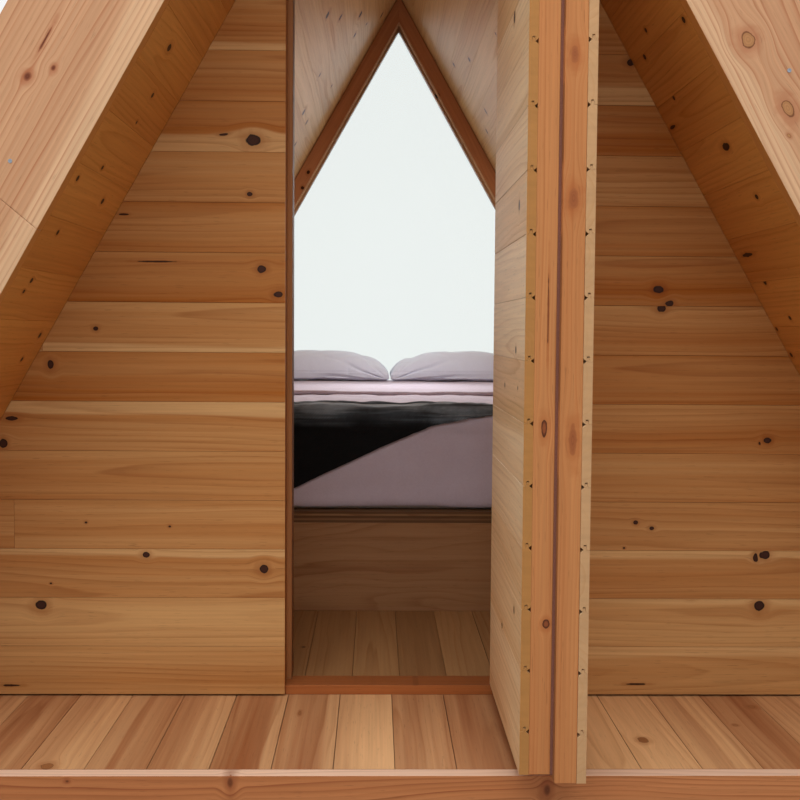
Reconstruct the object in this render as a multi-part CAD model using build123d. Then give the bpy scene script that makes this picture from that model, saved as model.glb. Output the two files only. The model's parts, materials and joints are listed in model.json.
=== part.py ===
from build123d import *
import math
import os

# A small timber cabin shaped like a capital A, for sleeping in. Two thick roof
# slopes meet at the ridge and stand on a raised platform. The front wall is set
# back under the roof, so the platform's first half metre is a porch. A tall
# rebated door opens outwards. A triangle of glass closes the rear, and a built-in
# bed fills the back of the room.
#
# Millimetres. X to the right as seen from the porch, Y inwards, Z up. The origin
# is on the ground, under the middle of the doorway, in the plane of the front
# wall's outer face.

# Platform heights and timbers
BEAM_HEIGHT = 178
JOIST_HEIGHT = 184
DECK_BOARD = 38
FLOOR_BOARD = 26
BEAM_WIDTH = 200
OUTER_BEAM_WIDTH = 300
OUTER_BEAM_INSET = 53
JOIST_WIDTH = 45
JOIST_COUNT = 9
RIM_WIDTH = 40
RIM_PROUD = 20

# Roof: one slope is a lining, an insulated core and an outer cladding
ROOF_ANGLE = 60.5
ROOF_LINING = 20
ROOF_CORE = 220
ROOF_CLADDING = 30
CLADDING_DRIP = 60
PORCH_DEPTH = 550
BARGE_WIDTH = 290
BARGE_BOARD = 38
BARGE_JOINT_OVER_DECK = 1204
BARGE_JOINT_SKEW = 52
BARGE_JOINT_GAP = 0.5
REAR_OVERHANG = 245
RIDGE_CAP_LEG = 170

# Front wall
WALL_CLADDING = 20
WALL_CORE = 100
WALL_LINING = 20
WALL_SHADOW_GAP = 5

# Doorway: a wider outer rebate and a narrower inner one
DOORWAY_WIDTH = 700
DOORWAY_HEIGHT = 1994
REBATE_STEP = 14
POST_WIDTH = 36
POST_TOP_CUT = 12
HEAD_HEIGHT = 36
SILL_FRONT = 15
SILL_DEPTH = 87

# Door leaf: two boarded skins, each on its own framed core, with a membrane between
LEAF_SKIN = 20
LEAF_OUTER_CORE = 48
LEAF_MEMBRANE = 6
LEAF_INNER_CORE = 46
LEAF_GAP = 6
LEAF_HINGE_GAP = 5
LEAF_FREE_GAP = 10
LEAF_INNER_FREE_GAP = 17
LEAF_INNER_SILL_GAP = 17
DOOR_OPEN_ANGLE = 90

# Hinges
HINGE_COUNT = 3
HINGE_HEIGHT = 100
HINGE_PLATE_WIDTH = 50
HINGE_PLATE = 2
HINGE_KNUCKLES = 5
HINGE_KNUCKLE_RADIUS = 6
HINGE_PIN_RADIUS = 3
HINGE_PIN_CLEARANCE = 0.08
HINGE_END_PLAY = 0.5
HINGE_WALL_CLEARANCE = 1
HINGE_INSET = 220

# Finger slot through the door's outer boards
PULL_LENGTH = 150
PULL_WIDTH = 34
PULL_EDGE = 60
PULL_OVER_DECK = 1000

# Rear glazing
WINDOW_DEPTH = 90
WINDOW_FACE = 66
WINDOW_REBATE = 18
WINDOW_SHADOW_GAP = 4
WINDOW_SHADOW_DEPTH = 8
GLASS = 24
BEAD_WIDTH = 8
BEAD_DEPTH = 14
GLASS_FROM_INSIDE = 21

# Built-in bed and its bedding
BED_FRONT = 865
BED_PANEL = 18
BED_TOP_OVER_DECK = 371
BED_TOP_BOARD = 39
MATTRESS_WIDTH = 1520
MATTRESS_LENGTH = 2030
MATTRESS_HEIGHT = 300
MATTRESS_SET_BACK = 40
MATTRESS_REAR_GAP = 20
COVER_THICKNESS = 78
COVER_DROP = 14
COVER_HEM = 10
PILLOW_WIDTH = 690
PILLOW_LENGTH = 440
PILLOW_HEIGHT = 143
PILLOW_SPLIT = -40
PILLOW_SPACE = 24
THROW_THICKNESS = 12
THROW_REACH_LEFT = 150
THROW_REACH_RIGHT = 110
THROW_FRONT_LEFT = 335
THROW_FRONT_RIGHT = 40
THROW_SLANT_LEFT = -450
THROW_SLANT_RIGHT = 110
THROW_SLANT_LOW = 325
THROW_SLANT_HIGH = 85
SOFT_GAP = 0.3

SLOPE = math.tan(math.radians(ROOF_ANGLE))
LEAN = math.cos(math.radians(ROOF_ANGLE))
RISE = math.sin(math.radians(ROOF_ANGLE))

# Levels
JOIST_TOP = BEAM_HEIGHT + JOIST_HEIGHT
DECK = JOIST_TOP + DECK_BOARD
FLOOR = DECK + FLOOR_BOARD
BED_TOP = DECK + BED_TOP_OVER_DECK
BED_TOP_UNDERSIDE = BED_TOP - BED_TOP_BOARD
HEAD_TOP = DECK + DOORWAY_HEIGHT + HEAD_HEIGHT

# The slopes cut a little off the posts' outer top corners
APEX = HEAD_TOP - POST_TOP_CUT + (DOORWAY_WIDTH / 2 + POST_WIDTH) * SLOPE

# Depths along Y
ROOF_FRONT = -PORCH_DEPTH
SLOPE_FRONT = ROOF_FRONT + BARGE_BOARD
RIM_FRONT = ROOF_FRONT - RIM_PROUD
PORCH_FRONT = RIM_FRONT + RIM_WIDTH
CORE_FRONT = WALL_CLADDING
REBATE_DEPTH = LEAF_SKIN + LEAF_OUTER_CORE + LEAF_MEMBRANE
CORE_BACK = CORE_FRONT + WALL_CORE
WALL_BACK = CORE_BACK + WALL_LINING
MATTRESS_FRONT = BED_FRONT + MATTRESS_SET_BACK
MATTRESS_BACK = MATTRESS_FRONT + MATTRESS_LENGTH
WINDOW_INNER_FACE = MATTRESS_BACK + MATTRESS_REAR_GAP
WINDOW_OUTER_FACE = WINDOW_INNER_FACE + WINDOW_DEPTH
RIM_REAR = WINDOW_OUTER_FACE - RIM_WIDTH
ROOF_REAR = WINDOW_OUTER_FACE + REAR_OVERHANG
SLOPE_REAR = ROOF_REAR - BARGE_BOARD

# Offsets outwards from the face of the roof lining
CORE_OFFSET = ROOF_LINING
CLADDING_OFFSET = CORE_OFFSET + ROOF_CORE
OUTER_OFFSET = CLADDING_OFFSET + ROOF_CLADDING


def apex_height(offset=0.0):
    """Height at which a roof plane, moved outwards by offset, meets its mirror image."""
    return APEX + offset / LEAN


def half_width(height, offset=0.0):
    """Distance from the middle plane to such a roof plane at a height."""
    return (apex_height(offset) - height) / SLOPE


def slope_point(distance, offset=0.0):
    """Point on the right slope, a distance down from the apex and an offset outwards."""
    x = distance * LEAN + offset * RISE
    z = APEX - distance * RISE + offset * LEAN
    return (x, z)


def prism(outline, front, back):
    """Solid with an outline in X and Z, from a front depth to a back depth."""
    points = [(x, front, z) for x, z in outline]
    face = make_face(Polyline(*points, close=True))
    return extrude(face, amount=back - front, dir=(0, 1, 0))


def block(x, y, z):
    """Box between two values on each axis."""
    centre = [(low + high) / 2 for low, high in (x, y, z)]
    size = [high - low for low, high in (x, y, z)]
    return Pos(*centre) * Box(*size)


def mirrored(shape):
    """The left-hand twin of a right-hand shape."""
    return mirror(shape, about=Plane.YZ)


def write(name, *shapes):
    """One STEP file for a node, with each of its solids."""
    solids = [solid for shape in shapes for solid in shape.solids()]
    whole = solids[0] if len(solids) == 1 else Compound(children=solids)
    export_step(whole, f"parts/{name}.step")


def floor_plate(bottom, top, front, back, offset=0.0):
    """Plate across the cabin whose ends are cut to the slope of the roof."""
    low = half_width(bottom, offset)
    high = half_width(top, offset)
    outline = [(-low, bottom), (low, bottom), (high, top), (-high, top)]
    return prism(outline, front, back)


def slope_layer(inner, outer, foot, front, back):
    """Right-hand layer along a slope between two offsets, cut plumb at the ridge."""
    outline = [
        (0, apex_height(inner)),
        (0, apex_height(outer)),
        (half_width(foot, outer), foot),
        (half_width(foot, inner), foot),
    ]
    return prism(outline, front, back)


def gable(bottom, front, back, offset=0.0):
    """Whole triangle under the roof, above a bottom height."""
    side = half_width(bottom, offset)
    outline = [(-side, bottom), (side, bottom), (0, apex_height(offset))]
    return prism(outline, front, back)


def base_beams():
    """Ground beams along the cabin: one in the middle and one under each roof foot."""
    outer_edge = half_width(BEAM_HEIGHT, OUTER_OFFSET) - OUTER_BEAM_INSET
    depth = (SLOPE_FRONT, SLOPE_REAR)
    height = (0, BEAM_HEIGHT)
    middle = block((-BEAM_WIDTH / 2, BEAM_WIDTH / 2), depth, height)
    outer = block((outer_edge - OUTER_BEAM_WIDTH, outer_edge), depth, height)
    return [middle, outer, mirrored(outer)]


def side_rims():
    """Joist-end boards that lie against the roof lining."""
    low = half_width(BEAM_HEIGHT)
    high = half_width(JOIST_TOP)
    outline = [
        (low - JOIST_WIDTH, BEAM_HEIGHT),
        (low, BEAM_HEIGHT),
        (high, JOIST_TOP),
        (high - JOIST_WIDTH, JOIST_TOP),
    ]
    right = prism(outline, PORCH_FRONT, RIM_REAR)
    return [right, mirrored(right)]


def floor_joists():
    """Joists across the platform, evenly spaced between the end rims."""
    low = half_width(BEAM_HEIGHT) - JOIST_WIDTH
    high = half_width(JOIST_TOP) - JOIST_WIDTH
    outline = [(-low, BEAM_HEIGHT), (low, BEAM_HEIGHT), (high, JOIST_TOP), (-high, JOIST_TOP)]
    spacing = (RIM_REAR - PORCH_FRONT) / JOIST_COUNT
    joists = []
    for index in range(JOIST_COUNT):
        middle = PORCH_FRONT + (index + 0.5) * spacing
        joists.append(prism(outline, middle - JOIST_WIDTH / 2, middle + JOIST_WIDTH / 2))
    return joists


def door_sill():
    """Threshold between the posts, with a shoulder at the door's rebate."""
    outer_half = DOORWAY_WIDTH / 2
    inner_half = outer_half - REBATE_STEP
    outer = block((-outer_half, outer_half), (SILL_FRONT, REBATE_DEPTH), (DECK, FLOOR))
    inner_depth = (REBATE_DEPTH, SILL_FRONT + SILL_DEPTH)
    inner = block((-inner_half, inner_half), inner_depth, (DECK, FLOOR))
    return outer + inner


def cabin_floor():
    """Floorboards from wall to glass, with a tongue that reaches into the doorway."""
    inner_half = DOORWAY_WIDTH / 2 - REBATE_STEP
    room = floor_plate(DECK, FLOOR, WALL_BACK, WINDOW_OUTER_FACE)
    tongue_depth = (SILL_FRONT + SILL_DEPTH, WALL_BACK)
    tongue = block((-inner_half, inner_half), tongue_depth, (DECK, FLOOR))
    return room + tongue


def jointed_barge():
    """Front barge board in two lengths, with skewed ends that meet across a hairline gap."""
    distance = (APEX - DECK - BARGE_JOINT_OVER_DECK) / RISE
    upper_end = distance - BARGE_JOINT_GAP / 2
    lower_end = distance + BARGE_JOINT_GAP / 2
    foot = BEAM_HEIGHT - CLADDING_DRIP
    upper = [
        (0, apex_height()),
        (0, apex_height(BARGE_WIDTH)),
        slope_point(upper_end - BARGE_JOINT_SKEW, BARGE_WIDTH),
        slope_point(upper_end),
    ]
    lower = [
        slope_point(lower_end),
        slope_point(lower_end - BARGE_JOINT_SKEW, BARGE_WIDTH),
        (half_width(foot, BARGE_WIDTH), foot),
        (half_width(foot), foot),
    ]
    return [prism(outline, ROOF_FRONT, SLOPE_FRONT) for outline in (upper, lower)]


def ridge_cap():
    """Angle of two boards over the ridge, level with the barge boards' top edges."""
    end = RIDGE_CAP_LEG - BARGE_WIDTH * SLOPE
    right = [
        (0, apex_height(OUTER_OFFSET)),
        (0, apex_height(BARGE_WIDTH)),
        slope_point(end, BARGE_WIDTH),
        slope_point(end, OUTER_OFFSET),
    ]
    leg = prism(right, SLOPE_FRONT, SLOPE_REAR)
    return leg + mirrored(leg)


def wall_side(clear_half, bottom, front, back):
    """Right-hand part of the front wall beside the doorway, up to the slope."""
    outline = [
        (clear_half, bottom),
        (half_width(bottom), bottom),
        (clear_half, APEX - clear_half * SLOPE),
    ]
    return prism(outline, front, back)


def cladding_over_door():
    """Outer boarding above the doorway, as wide as the opening."""
    half = DOORWAY_WIDTH / 2
    bottom = DECK + DOORWAY_HEIGHT
    shoulder = APEX - half * SLOPE
    outline = [(-half, bottom), (half, bottom), (half, shoulder), (0, APEX), (-half, shoulder)]
    return prism(outline, 0, CORE_FRONT)


def door_post():
    """Right-hand post with a rebate for the leaf's two halves, cut under the slope."""
    outer_half = DOORWAY_WIDTH / 2
    far_side = outer_half + POST_WIDTH
    height = (DECK, HEAD_TOP)
    outer = block((outer_half, far_side), (CORE_FRONT, REBATE_DEPTH), height)
    inner_side = (outer_half - REBATE_STEP, far_side)
    inner = block(inner_side, (REBATE_DEPTH, WALL_BACK), height)
    return (outer + inner) & gable(DECK, CORE_FRONT, WALL_BACK)


def door_head():
    """Rebated head between the posts."""
    outer_half = DOORWAY_WIDTH / 2
    inner_half = outer_half - REBATE_STEP
    underside = DECK + DOORWAY_HEIGHT
    outer = block((-outer_half, outer_half), (CORE_FRONT, REBATE_DEPTH), (underside, HEAD_TOP))
    inner_height = (underside - REBATE_STEP, HEAD_TOP)
    inner = block((-inner_half, inner_half), (REBATE_DEPTH, WALL_BACK), inner_height)
    return outer + inner


# Door leaf, worked out shut in its frame
LEAF_HINGE_EDGE = DOORWAY_WIDTH / 2 - LEAF_HINGE_GAP
LEAF_INNER_HINGE_EDGE = LEAF_HINGE_EDGE - REBATE_STEP
LEAF_FREE_EDGE = LEAF_FREE_GAP - DOORWAY_WIDTH / 2
LEAF_INNER_FREE_EDGE = REBATE_STEP + LEAF_INNER_FREE_GAP - DOORWAY_WIDTH / 2
LEAF_BOTTOM = FLOOR + LEAF_GAP
LEAF_TOP = DECK + DOORWAY_HEIGHT - LEAF_GAP
LEAF_INNER_BOTTOM = FLOOR + LEAF_INNER_SILL_GAP
LEAF_INNER_TOP = LEAF_TOP - REBATE_STEP
LEAF_MEMBRANE_FRONT = LEAF_SKIN + LEAF_OUTER_CORE
LEAF_INNER_FRONT = LEAF_MEMBRANE_FRONT + LEAF_MEMBRANE
LEAF_INNER_SKIN_FRONT = LEAF_INNER_FRONT + LEAF_INNER_CORE
LEAF_BACK = LEAF_INNER_SKIN_FRONT + LEAF_SKIN

HINGE_X = DOORWAY_WIDTH / 2
HINGE_Y = -HINGE_KNUCKLE_RADIUS - HINGE_WALL_CLEARANCE
HINGE_AXIS = Axis((HINGE_X, HINGE_Y, 0), (0, 0, 1))


def opened(shape):
    """The leaf's pieces stand open, square to the wall."""
    return shape.rotate(HINGE_AXIS, DOOR_OPEN_ANGLE)


def leaf_layer(front, back, inner=False):
    """Layer of the leaf between two depths, of the outer or the inner half."""
    if inner:
        width = (LEAF_INNER_FREE_EDGE, LEAF_INNER_HINGE_EDGE)
        height = (LEAF_INNER_BOTTOM, LEAF_INNER_TOP)
    else:
        width = (LEAF_FREE_EDGE, LEAF_HINGE_EDGE)
        height = (LEAF_BOTTOM, LEAF_TOP)
    return opened(block(width, (front, back), height))


def hinge_heights():
    """Lowest point of each hinge, evenly spaced up the leaf."""
    lowest = LEAF_BOTTOM + HINGE_INSET
    highest = LEAF_TOP - HINGE_INSET - HINGE_HEIGHT
    step = (highest - lowest) / (HINGE_COUNT - 1)
    return [lowest + index * step for index in range(HINGE_COUNT)]


def knuckle(bottom, index, radius):
    """One of a hinge's knuckles, short of its neighbours by the end play."""
    pitch = HINGE_HEIGHT / HINGE_KNUCKLES
    height = pitch - HINGE_END_PLAY
    centre = bottom + (index + 0.5) * pitch
    return Pos(HINGE_X, HINGE_Y, centre) * Cylinder(radius, height)


def hinge_strap(bottom, index, side):
    """Short strip that joins a hinge plate to one of its knuckles."""
    pitch = HINGE_HEIGHT / HINGE_KNUCKLES
    low = bottom + index * pitch + HINGE_END_PLAY / 2
    high = low + pitch - HINGE_END_PLAY
    return block(side, (HINGE_Y + HINGE_PLATE, 0), (low, high))


def frame_hinge(bottom):
    """Plate on the post, its knuckles and the pin through all of them."""
    side = (HINGE_X - HINGE_PLATE, HINGE_X)
    hinge = block(side, (0, HINGE_PLATE_WIDTH), (bottom, bottom + HINGE_HEIGHT))
    middle = bottom + HINGE_HEIGHT / 2
    hinge += Pos(HINGE_X, HINGE_Y, middle) * Cylinder(HINGE_PIN_RADIUS, HINGE_HEIGHT)
    for index in range(0, HINGE_KNUCKLES, 2):
        hinge += knuckle(bottom, index, HINGE_KNUCKLE_RADIUS)
        hinge += hinge_strap(bottom, index, side)
    return hinge


def leaf_hinge(bottom):
    """Plate on the leaf's edge and the knuckles that turn on the pin."""
    side = (LEAF_HINGE_EDGE, LEAF_HINGE_EDGE + HINGE_PLATE)
    hinge = block(side, (0, HINGE_PLATE_WIDTH), (bottom, bottom + HINGE_HEIGHT))
    for index in range(1, HINGE_KNUCKLES, 2):
        hinge += knuckle(bottom, index, HINGE_KNUCKLE_RADIUS)
        hinge += hinge_strap(bottom, index, side)
    bore = HINGE_PIN_RADIUS + HINGE_PIN_CLEARANCE
    middle = bottom + HINGE_HEIGHT / 2
    hinge -= Pos(HINGE_X, HINGE_Y, middle) * Cylinder(bore, HINGE_HEIGHT)
    return opened(hinge)


def door_outer_boards():
    """Outer skin of the leaf, with an upright slot for the fingers that pull it open."""
    centre = Pos(LEAF_FREE_EDGE + PULL_EDGE, DECK + PULL_OVER_DECK)
    outline = Plane.XZ * centre * SlotOverall(PULL_LENGTH, PULL_WIDTH, rotation=90)
    slot = extrude(outline, amount=LEAF_SKIN, dir=(0, 1, 0))
    return leaf_layer(0, LEAF_SKIN) - opened(slot)


def window_stile():
    """Sloped side of the glazing frame, rebated on the room side for the glass."""
    shadow = WINDOW_INNER_FACE + WINDOW_SHADOW_DEPTH
    seat = WINDOW_INNER_FACE + GLASS_FROM_INSIDE + GLASS
    rebated = -WINDOW_FACE - WINDOW_REBATE
    lip = slope_layer(-WINDOW_FACE, -WINDOW_SHADOW_GAP, FLOOR, WINDOW_INNER_FACE, shadow)
    room_part = slope_layer(-WINDOW_FACE, 0, FLOOR, shadow, seat)
    outer_part = slope_layer(rebated, 0, FLOOR, seat, WINDOW_OUTER_FACE)
    return lip + room_part + outer_part


def window_bottom_rail():
    """Bottom of the glazing frame, between the stiles."""
    seat = WINDOW_INNER_FACE + GLASS_FROM_INSIDE + GLASS
    room_top = FLOOR + WINDOW_FACE
    outer_top = room_top + WINDOW_REBATE
    room_part = floor_plate(FLOOR, room_top, WINDOW_INNER_FACE, seat, -WINDOW_FACE)
    reach = -WINDOW_FACE - WINDOW_REBATE
    outer_part = floor_plate(FLOOR, outer_top, seat, WINDOW_OUTER_FACE, reach)
    return room_part + outer_part


def window_glass():
    """Triangular double-glazed unit in the rebate."""
    front = WINDOW_INNER_FACE + GLASS_FROM_INSIDE
    return gable(FLOOR + WINDOW_FACE, front, front + GLASS, -WINDOW_FACE)


def glazing_beads():
    """Thin beads round the glass on the room side."""
    back = WINDOW_INNER_FACE + GLASS_FROM_INSIDE
    front = back - BEAD_DEPTH
    bottom = FLOOR + WINDOW_FACE
    outer = gable(bottom, front, back, -WINDOW_FACE)
    inner = gable(bottom + BEAD_WIDTH, front, back, -WINDOW_FACE - BEAD_WIDTH)
    return outer - inner


MATTRESS_BOTTOM = BED_TOP + SOFT_GAP
MATTRESS_TOP = MATTRESS_BOTTOM + MATTRESS_HEIGHT
COVER_TOP = MATTRESS_TOP + SOFT_GAP + COVER_THICKNESS
COVER_FRONT = MATTRESS_FRONT - SOFT_GAP - COVER_DROP
COVER_HALF = MATTRESS_WIDTH / 2 + SOFT_GAP + COVER_DROP


def mattress():
    """Mattress on the bed's top board."""
    half = MATTRESS_WIDTH / 2
    depth = (MATTRESS_FRONT, MATTRESS_BACK)
    return block((-half, half), depth, (MATTRESS_BOTTOM, MATTRESS_TOP))


def bed_cover():
    """Cover over the mattress that hangs down its front and sides."""
    half = MATTRESS_WIDTH / 2 + SOFT_GAP
    hem = BED_TOP + COVER_HEM
    outer = block((-COVER_HALF, COVER_HALF), (COVER_FRONT, MATTRESS_BACK), (hem, COVER_TOP))
    hollow_depth = (MATTRESS_FRONT - SOFT_GAP, MATTRESS_BACK)
    hollow = block((-half, half), hollow_depth, (hem, MATTRESS_TOP + SOFT_GAP))
    return outer - hollow


def pillows():
    """Two pillows side by side at the glazed end."""
    back = MATTRESS_BACK - SOFT_GAP
    height = (COVER_TOP + SOFT_GAP, COVER_TOP + SOFT_GAP + PILLOW_HEIGHT)
    depth = (back - PILLOW_LENGTH, back)
    pair = []
    for side in (-1, 1):
        near = PILLOW_SPLIT + side * PILLOW_SPACE / 2
        far = near + side * PILLOW_WIDTH
        pillow = block((min(near, far), max(near, far)), depth, height)
        pair.append(fillet(pillow.edges(), PILLOW_HEIGHT * 0.35))
    return pair


def throw():
    """Throw laid askew across the foot of the bed, so its edge slants over the front."""
    bottom = COVER_TOP + SOFT_GAP
    top = bottom + THROW_THICKNESS
    front = COVER_FRONT - SOFT_GAP - THROW_THICKNESS
    back_left = COVER_FRONT + THROW_REACH_LEFT
    back_right = COVER_FRONT + THROW_REACH_RIGHT
    corners = [
        (-COVER_HALF, front, bottom),
        (COVER_HALF, front, bottom),
        (COVER_HALF, back_right, bottom),
        (-COVER_HALF, back_left, bottom),
    ]
    spread = extrude(make_face(Polyline(*corners, close=True)), amount=top - bottom, dir=(0, 0, 1))
    fall_outline = [
        (-COVER_HALF, top),
        (-COVER_HALF, COVER_TOP - THROW_FRONT_LEFT),
        (THROW_SLANT_LEFT, COVER_TOP - THROW_SLANT_LOW),
        (THROW_SLANT_RIGHT, COVER_TOP - THROW_SLANT_HIGH),
        (COVER_HALF, COVER_TOP - THROW_FRONT_RIGHT),
        (COVER_HALF, top),
    ]
    return spread + prism(fall_outline, front, front + THROW_THICKNESS)


os.makedirs("parts", exist_ok=True)

# Platform
write("base_beams", *base_beams())
write("front_rim", floor_plate(BEAM_HEIGHT, DECK, RIM_FRONT, PORCH_FRONT))
write("rear_rim", floor_plate(BEAM_HEIGHT, JOIST_TOP, RIM_REAR, WINDOW_OUTER_FACE))
write("side_rims", *side_rims())
write("floor_joists", *floor_joists())
write("porch_deck", floor_plate(JOIST_TOP, DECK, PORCH_FRONT, SILL_FRONT))
write("subfloor", floor_plate(JOIST_TOP, DECK, SILL_FRONT, WINDOW_OUTER_FACE))
write("cabin_floor", cabin_floor())
write("door_sill", door_sill())

# Roof
drip = BEAM_HEIGHT - CLADDING_DRIP
lining = slope_layer(0, CORE_OFFSET, BEAM_HEIGHT, SLOPE_FRONT, SLOPE_REAR)
core = slope_layer(CORE_OFFSET, CLADDING_OFFSET, BEAM_HEIGHT, SLOPE_FRONT, SLOPE_REAR)
cladding = slope_layer(CLADDING_OFFSET, OUTER_OFFSET, drip, SLOPE_FRONT, SLOPE_REAR)
rear_barge = slope_layer(0, BARGE_WIDTH, drip, SLOPE_REAR, ROOF_REAR)
write("roof_lining_right", lining)
write("roof_lining_left", mirrored(lining))
write("roof_core_right", core)
write("roof_core_left", mirrored(core))
write("roof_cladding_right", cladding)
write("roof_cladding_left", mirrored(cladding))
write("barge_front_right", slope_layer(0, BARGE_WIDTH, drip, ROOF_FRONT, SLOPE_FRONT))
write("barge_front_left", *[mirrored(length) for length in jointed_barge()])
write("barge_rear_right", rear_barge)
write("barge_rear_left", mirrored(rear_barge))
write("ridge_cap", ridge_cap())

# Front wall
far_post_side = DOORWAY_WIDTH / 2 + POST_WIDTH
cladding_right = wall_side(DOORWAY_WIDTH / 2, DECK + WALL_SHADOW_GAP, 0, CORE_FRONT)
core_right = wall_side(far_post_side, DECK, CORE_FRONT, CORE_BACK)
lining_right = wall_side(far_post_side, DECK, CORE_BACK, WALL_BACK)
lining_top = gable(HEAD_TOP, CORE_BACK, WALL_BACK)
write("front_cladding_right", cladding_right)
write("front_cladding_left", mirrored(cladding_right))
write("front_cladding_top", cladding_over_door())
write("front_core_right", core_right)
write("front_core_left", mirrored(core_right))
write("front_core_top", gable(HEAD_TOP, CORE_FRONT, CORE_BACK))
write("front_lining", lining_right, mirrored(lining_right), lining_top)
write("door_post_right", door_post())
write("door_post_left", mirrored(door_post()))
write("door_head", door_head())

# Door
write("door_outer_boards", door_outer_boards())
write("door_outer_core", leaf_layer(LEAF_SKIN, LEAF_MEMBRANE_FRONT))
write("door_membrane", leaf_layer(LEAF_MEMBRANE_FRONT, LEAF_INNER_FRONT, inner=True))
write("door_inner_core", leaf_layer(LEAF_INNER_FRONT, LEAF_INNER_SKIN_FRONT, inner=True))
write("door_inner_boards", leaf_layer(LEAF_INNER_SKIN_FRONT, LEAF_BACK, inner=True))
write("frame_hinge_plates", *[frame_hinge(bottom) for bottom in hinge_heights()])
write("door_hinge_plates", *[leaf_hinge(bottom) for bottom in hinge_heights()])

# Rear glazing
write("window_stile_right", window_stile())
write("window_stile_left", mirrored(window_stile()))
write("window_bottom_rail", window_bottom_rail())
write("window_glass", window_glass())
write("glazing_beads", glazing_beads())

# Bed
write("bed_front_panel", floor_plate(FLOOR, BED_TOP_UNDERSIDE, BED_FRONT, BED_FRONT + BED_PANEL))
write("bed_top_board", floor_plate(BED_TOP_UNDERSIDE, BED_TOP, BED_FRONT, WINDOW_INNER_FACE))
write("mattress", mattress())
write("bed_cover", bed_cover())
write("pillows", *pillows())
write("throw", throw())
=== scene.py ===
import json
import math
import random
from contextlib import contextmanager
from functools import partial

import bpy
from bpy.props import FloatProperty, FloatVectorProperty, IntProperty, PointerProperty
from mathutils import Matrix, Vector, noise


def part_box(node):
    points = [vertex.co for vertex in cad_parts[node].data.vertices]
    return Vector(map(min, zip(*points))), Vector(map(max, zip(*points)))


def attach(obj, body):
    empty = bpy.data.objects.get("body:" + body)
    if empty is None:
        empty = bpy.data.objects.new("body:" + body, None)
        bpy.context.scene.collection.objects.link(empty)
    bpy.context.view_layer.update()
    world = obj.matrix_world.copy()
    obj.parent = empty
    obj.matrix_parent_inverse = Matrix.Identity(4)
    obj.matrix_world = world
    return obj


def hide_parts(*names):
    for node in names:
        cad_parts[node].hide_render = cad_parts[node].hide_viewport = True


bl_info = {
    "name": "Timber A-frame cabin",
    "version": (1, 0, 0),
    "blender": (4, 5, 0),
    "location": "View3D > Sidebar > Cabin",
    "description": "Boards, glazing and bedding of a small timber A-frame cabin",
    "category": "Object",
}

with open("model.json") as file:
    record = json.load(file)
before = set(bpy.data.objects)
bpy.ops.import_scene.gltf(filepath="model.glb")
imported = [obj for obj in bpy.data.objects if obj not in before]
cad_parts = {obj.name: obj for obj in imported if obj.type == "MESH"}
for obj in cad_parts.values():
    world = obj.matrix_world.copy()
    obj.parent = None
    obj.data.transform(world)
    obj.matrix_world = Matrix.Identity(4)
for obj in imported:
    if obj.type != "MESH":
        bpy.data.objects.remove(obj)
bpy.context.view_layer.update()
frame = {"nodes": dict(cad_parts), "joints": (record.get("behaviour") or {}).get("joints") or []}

# Levels and planes, all read from the fixed frame, in metres
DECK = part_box("porch_deck")[1].z
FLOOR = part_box("cabin_floor")[1].z
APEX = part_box("front_core_top")[1].z
HEAD_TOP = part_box("front_core_top")[0].z
SLOPE = (APEX - HEAD_TOP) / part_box("front_core_top")[1].x
ROOF_ANGLE = math.atan(SLOPE)
ROOF_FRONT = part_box("roof_lining_right")[0].y
ROOF_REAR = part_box("roof_lining_right")[1].y
ROOF_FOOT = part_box("roof_lining_right")[0].z
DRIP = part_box("roof_cladding_right")[0].z
DOOR_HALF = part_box("front_cladding_top")[1].x
DOOR_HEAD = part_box("front_cladding_top")[0].z
WALL_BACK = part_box("front_lining")[1].y
HINGE = Vector((frame["joints"][0]["pos_m"][0], frame["joints"][0]["pos_m"][1], 0))
BARGE_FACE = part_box("barge_front_left")[0].y
RIM_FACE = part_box("front_rim")[0].y
COVER_LOW, COVER_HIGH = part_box("bed_cover")
MATTRESS_LOW, MATTRESS_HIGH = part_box("mattress")

# How the grain lies in a piece: axis order for along, across and through, and a turn about Y
GRAIN_WALL = ("XZY", 0.0)
GRAIN_DECK = ("YXZ", 0.0)
GRAIN_POST = ("ZXY", 0.0)
GRAIN_LEAF = ("YZX", 0.0)
GRAIN_LINING = {1: ("YXZ", -ROOF_ANGLE), -1: ("YXZ", ROOF_ANGLE)}
GRAIN_RAFTER = {1: ("XZY", -ROOF_ANGLE), -1: ("XZY", ROOF_ANGLE)}

KNOTS_A_BOARD = 3
SIDES = ((-1, "left"), (1, "right"))

# Gaps and eased edges that many pieces share, in metres
ROOF_CLEARANCE = 0.001
RIDGE_GAP = 0.0003
EASED = 0.0015


def shade(red, green, blue):
    """Linear colour from the eight-bit numbers that a screen shows."""
    return tuple((value / 255 / 12.92) if value < 11 else ((value / 255 + 0.055) / 1.055) ** 2.4
                 for value in (red, green, blue))


def length_property(name, description, default):
    return FloatProperty(name=name, description=description, default=default, unit="LENGTH")


def angle_property(name, description, degrees):
    return FloatProperty(name=name, description=description, default=math.radians(degrees), subtype="ANGLE")


def power_property(name, description, watts):
    return FloatProperty(name=name, description=description, default=watts, unit="POWER")


def colour_property(name, description, colour):
    return FloatVectorProperty(name=name, description=description, default=colour, subtype="COLOR")


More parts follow.
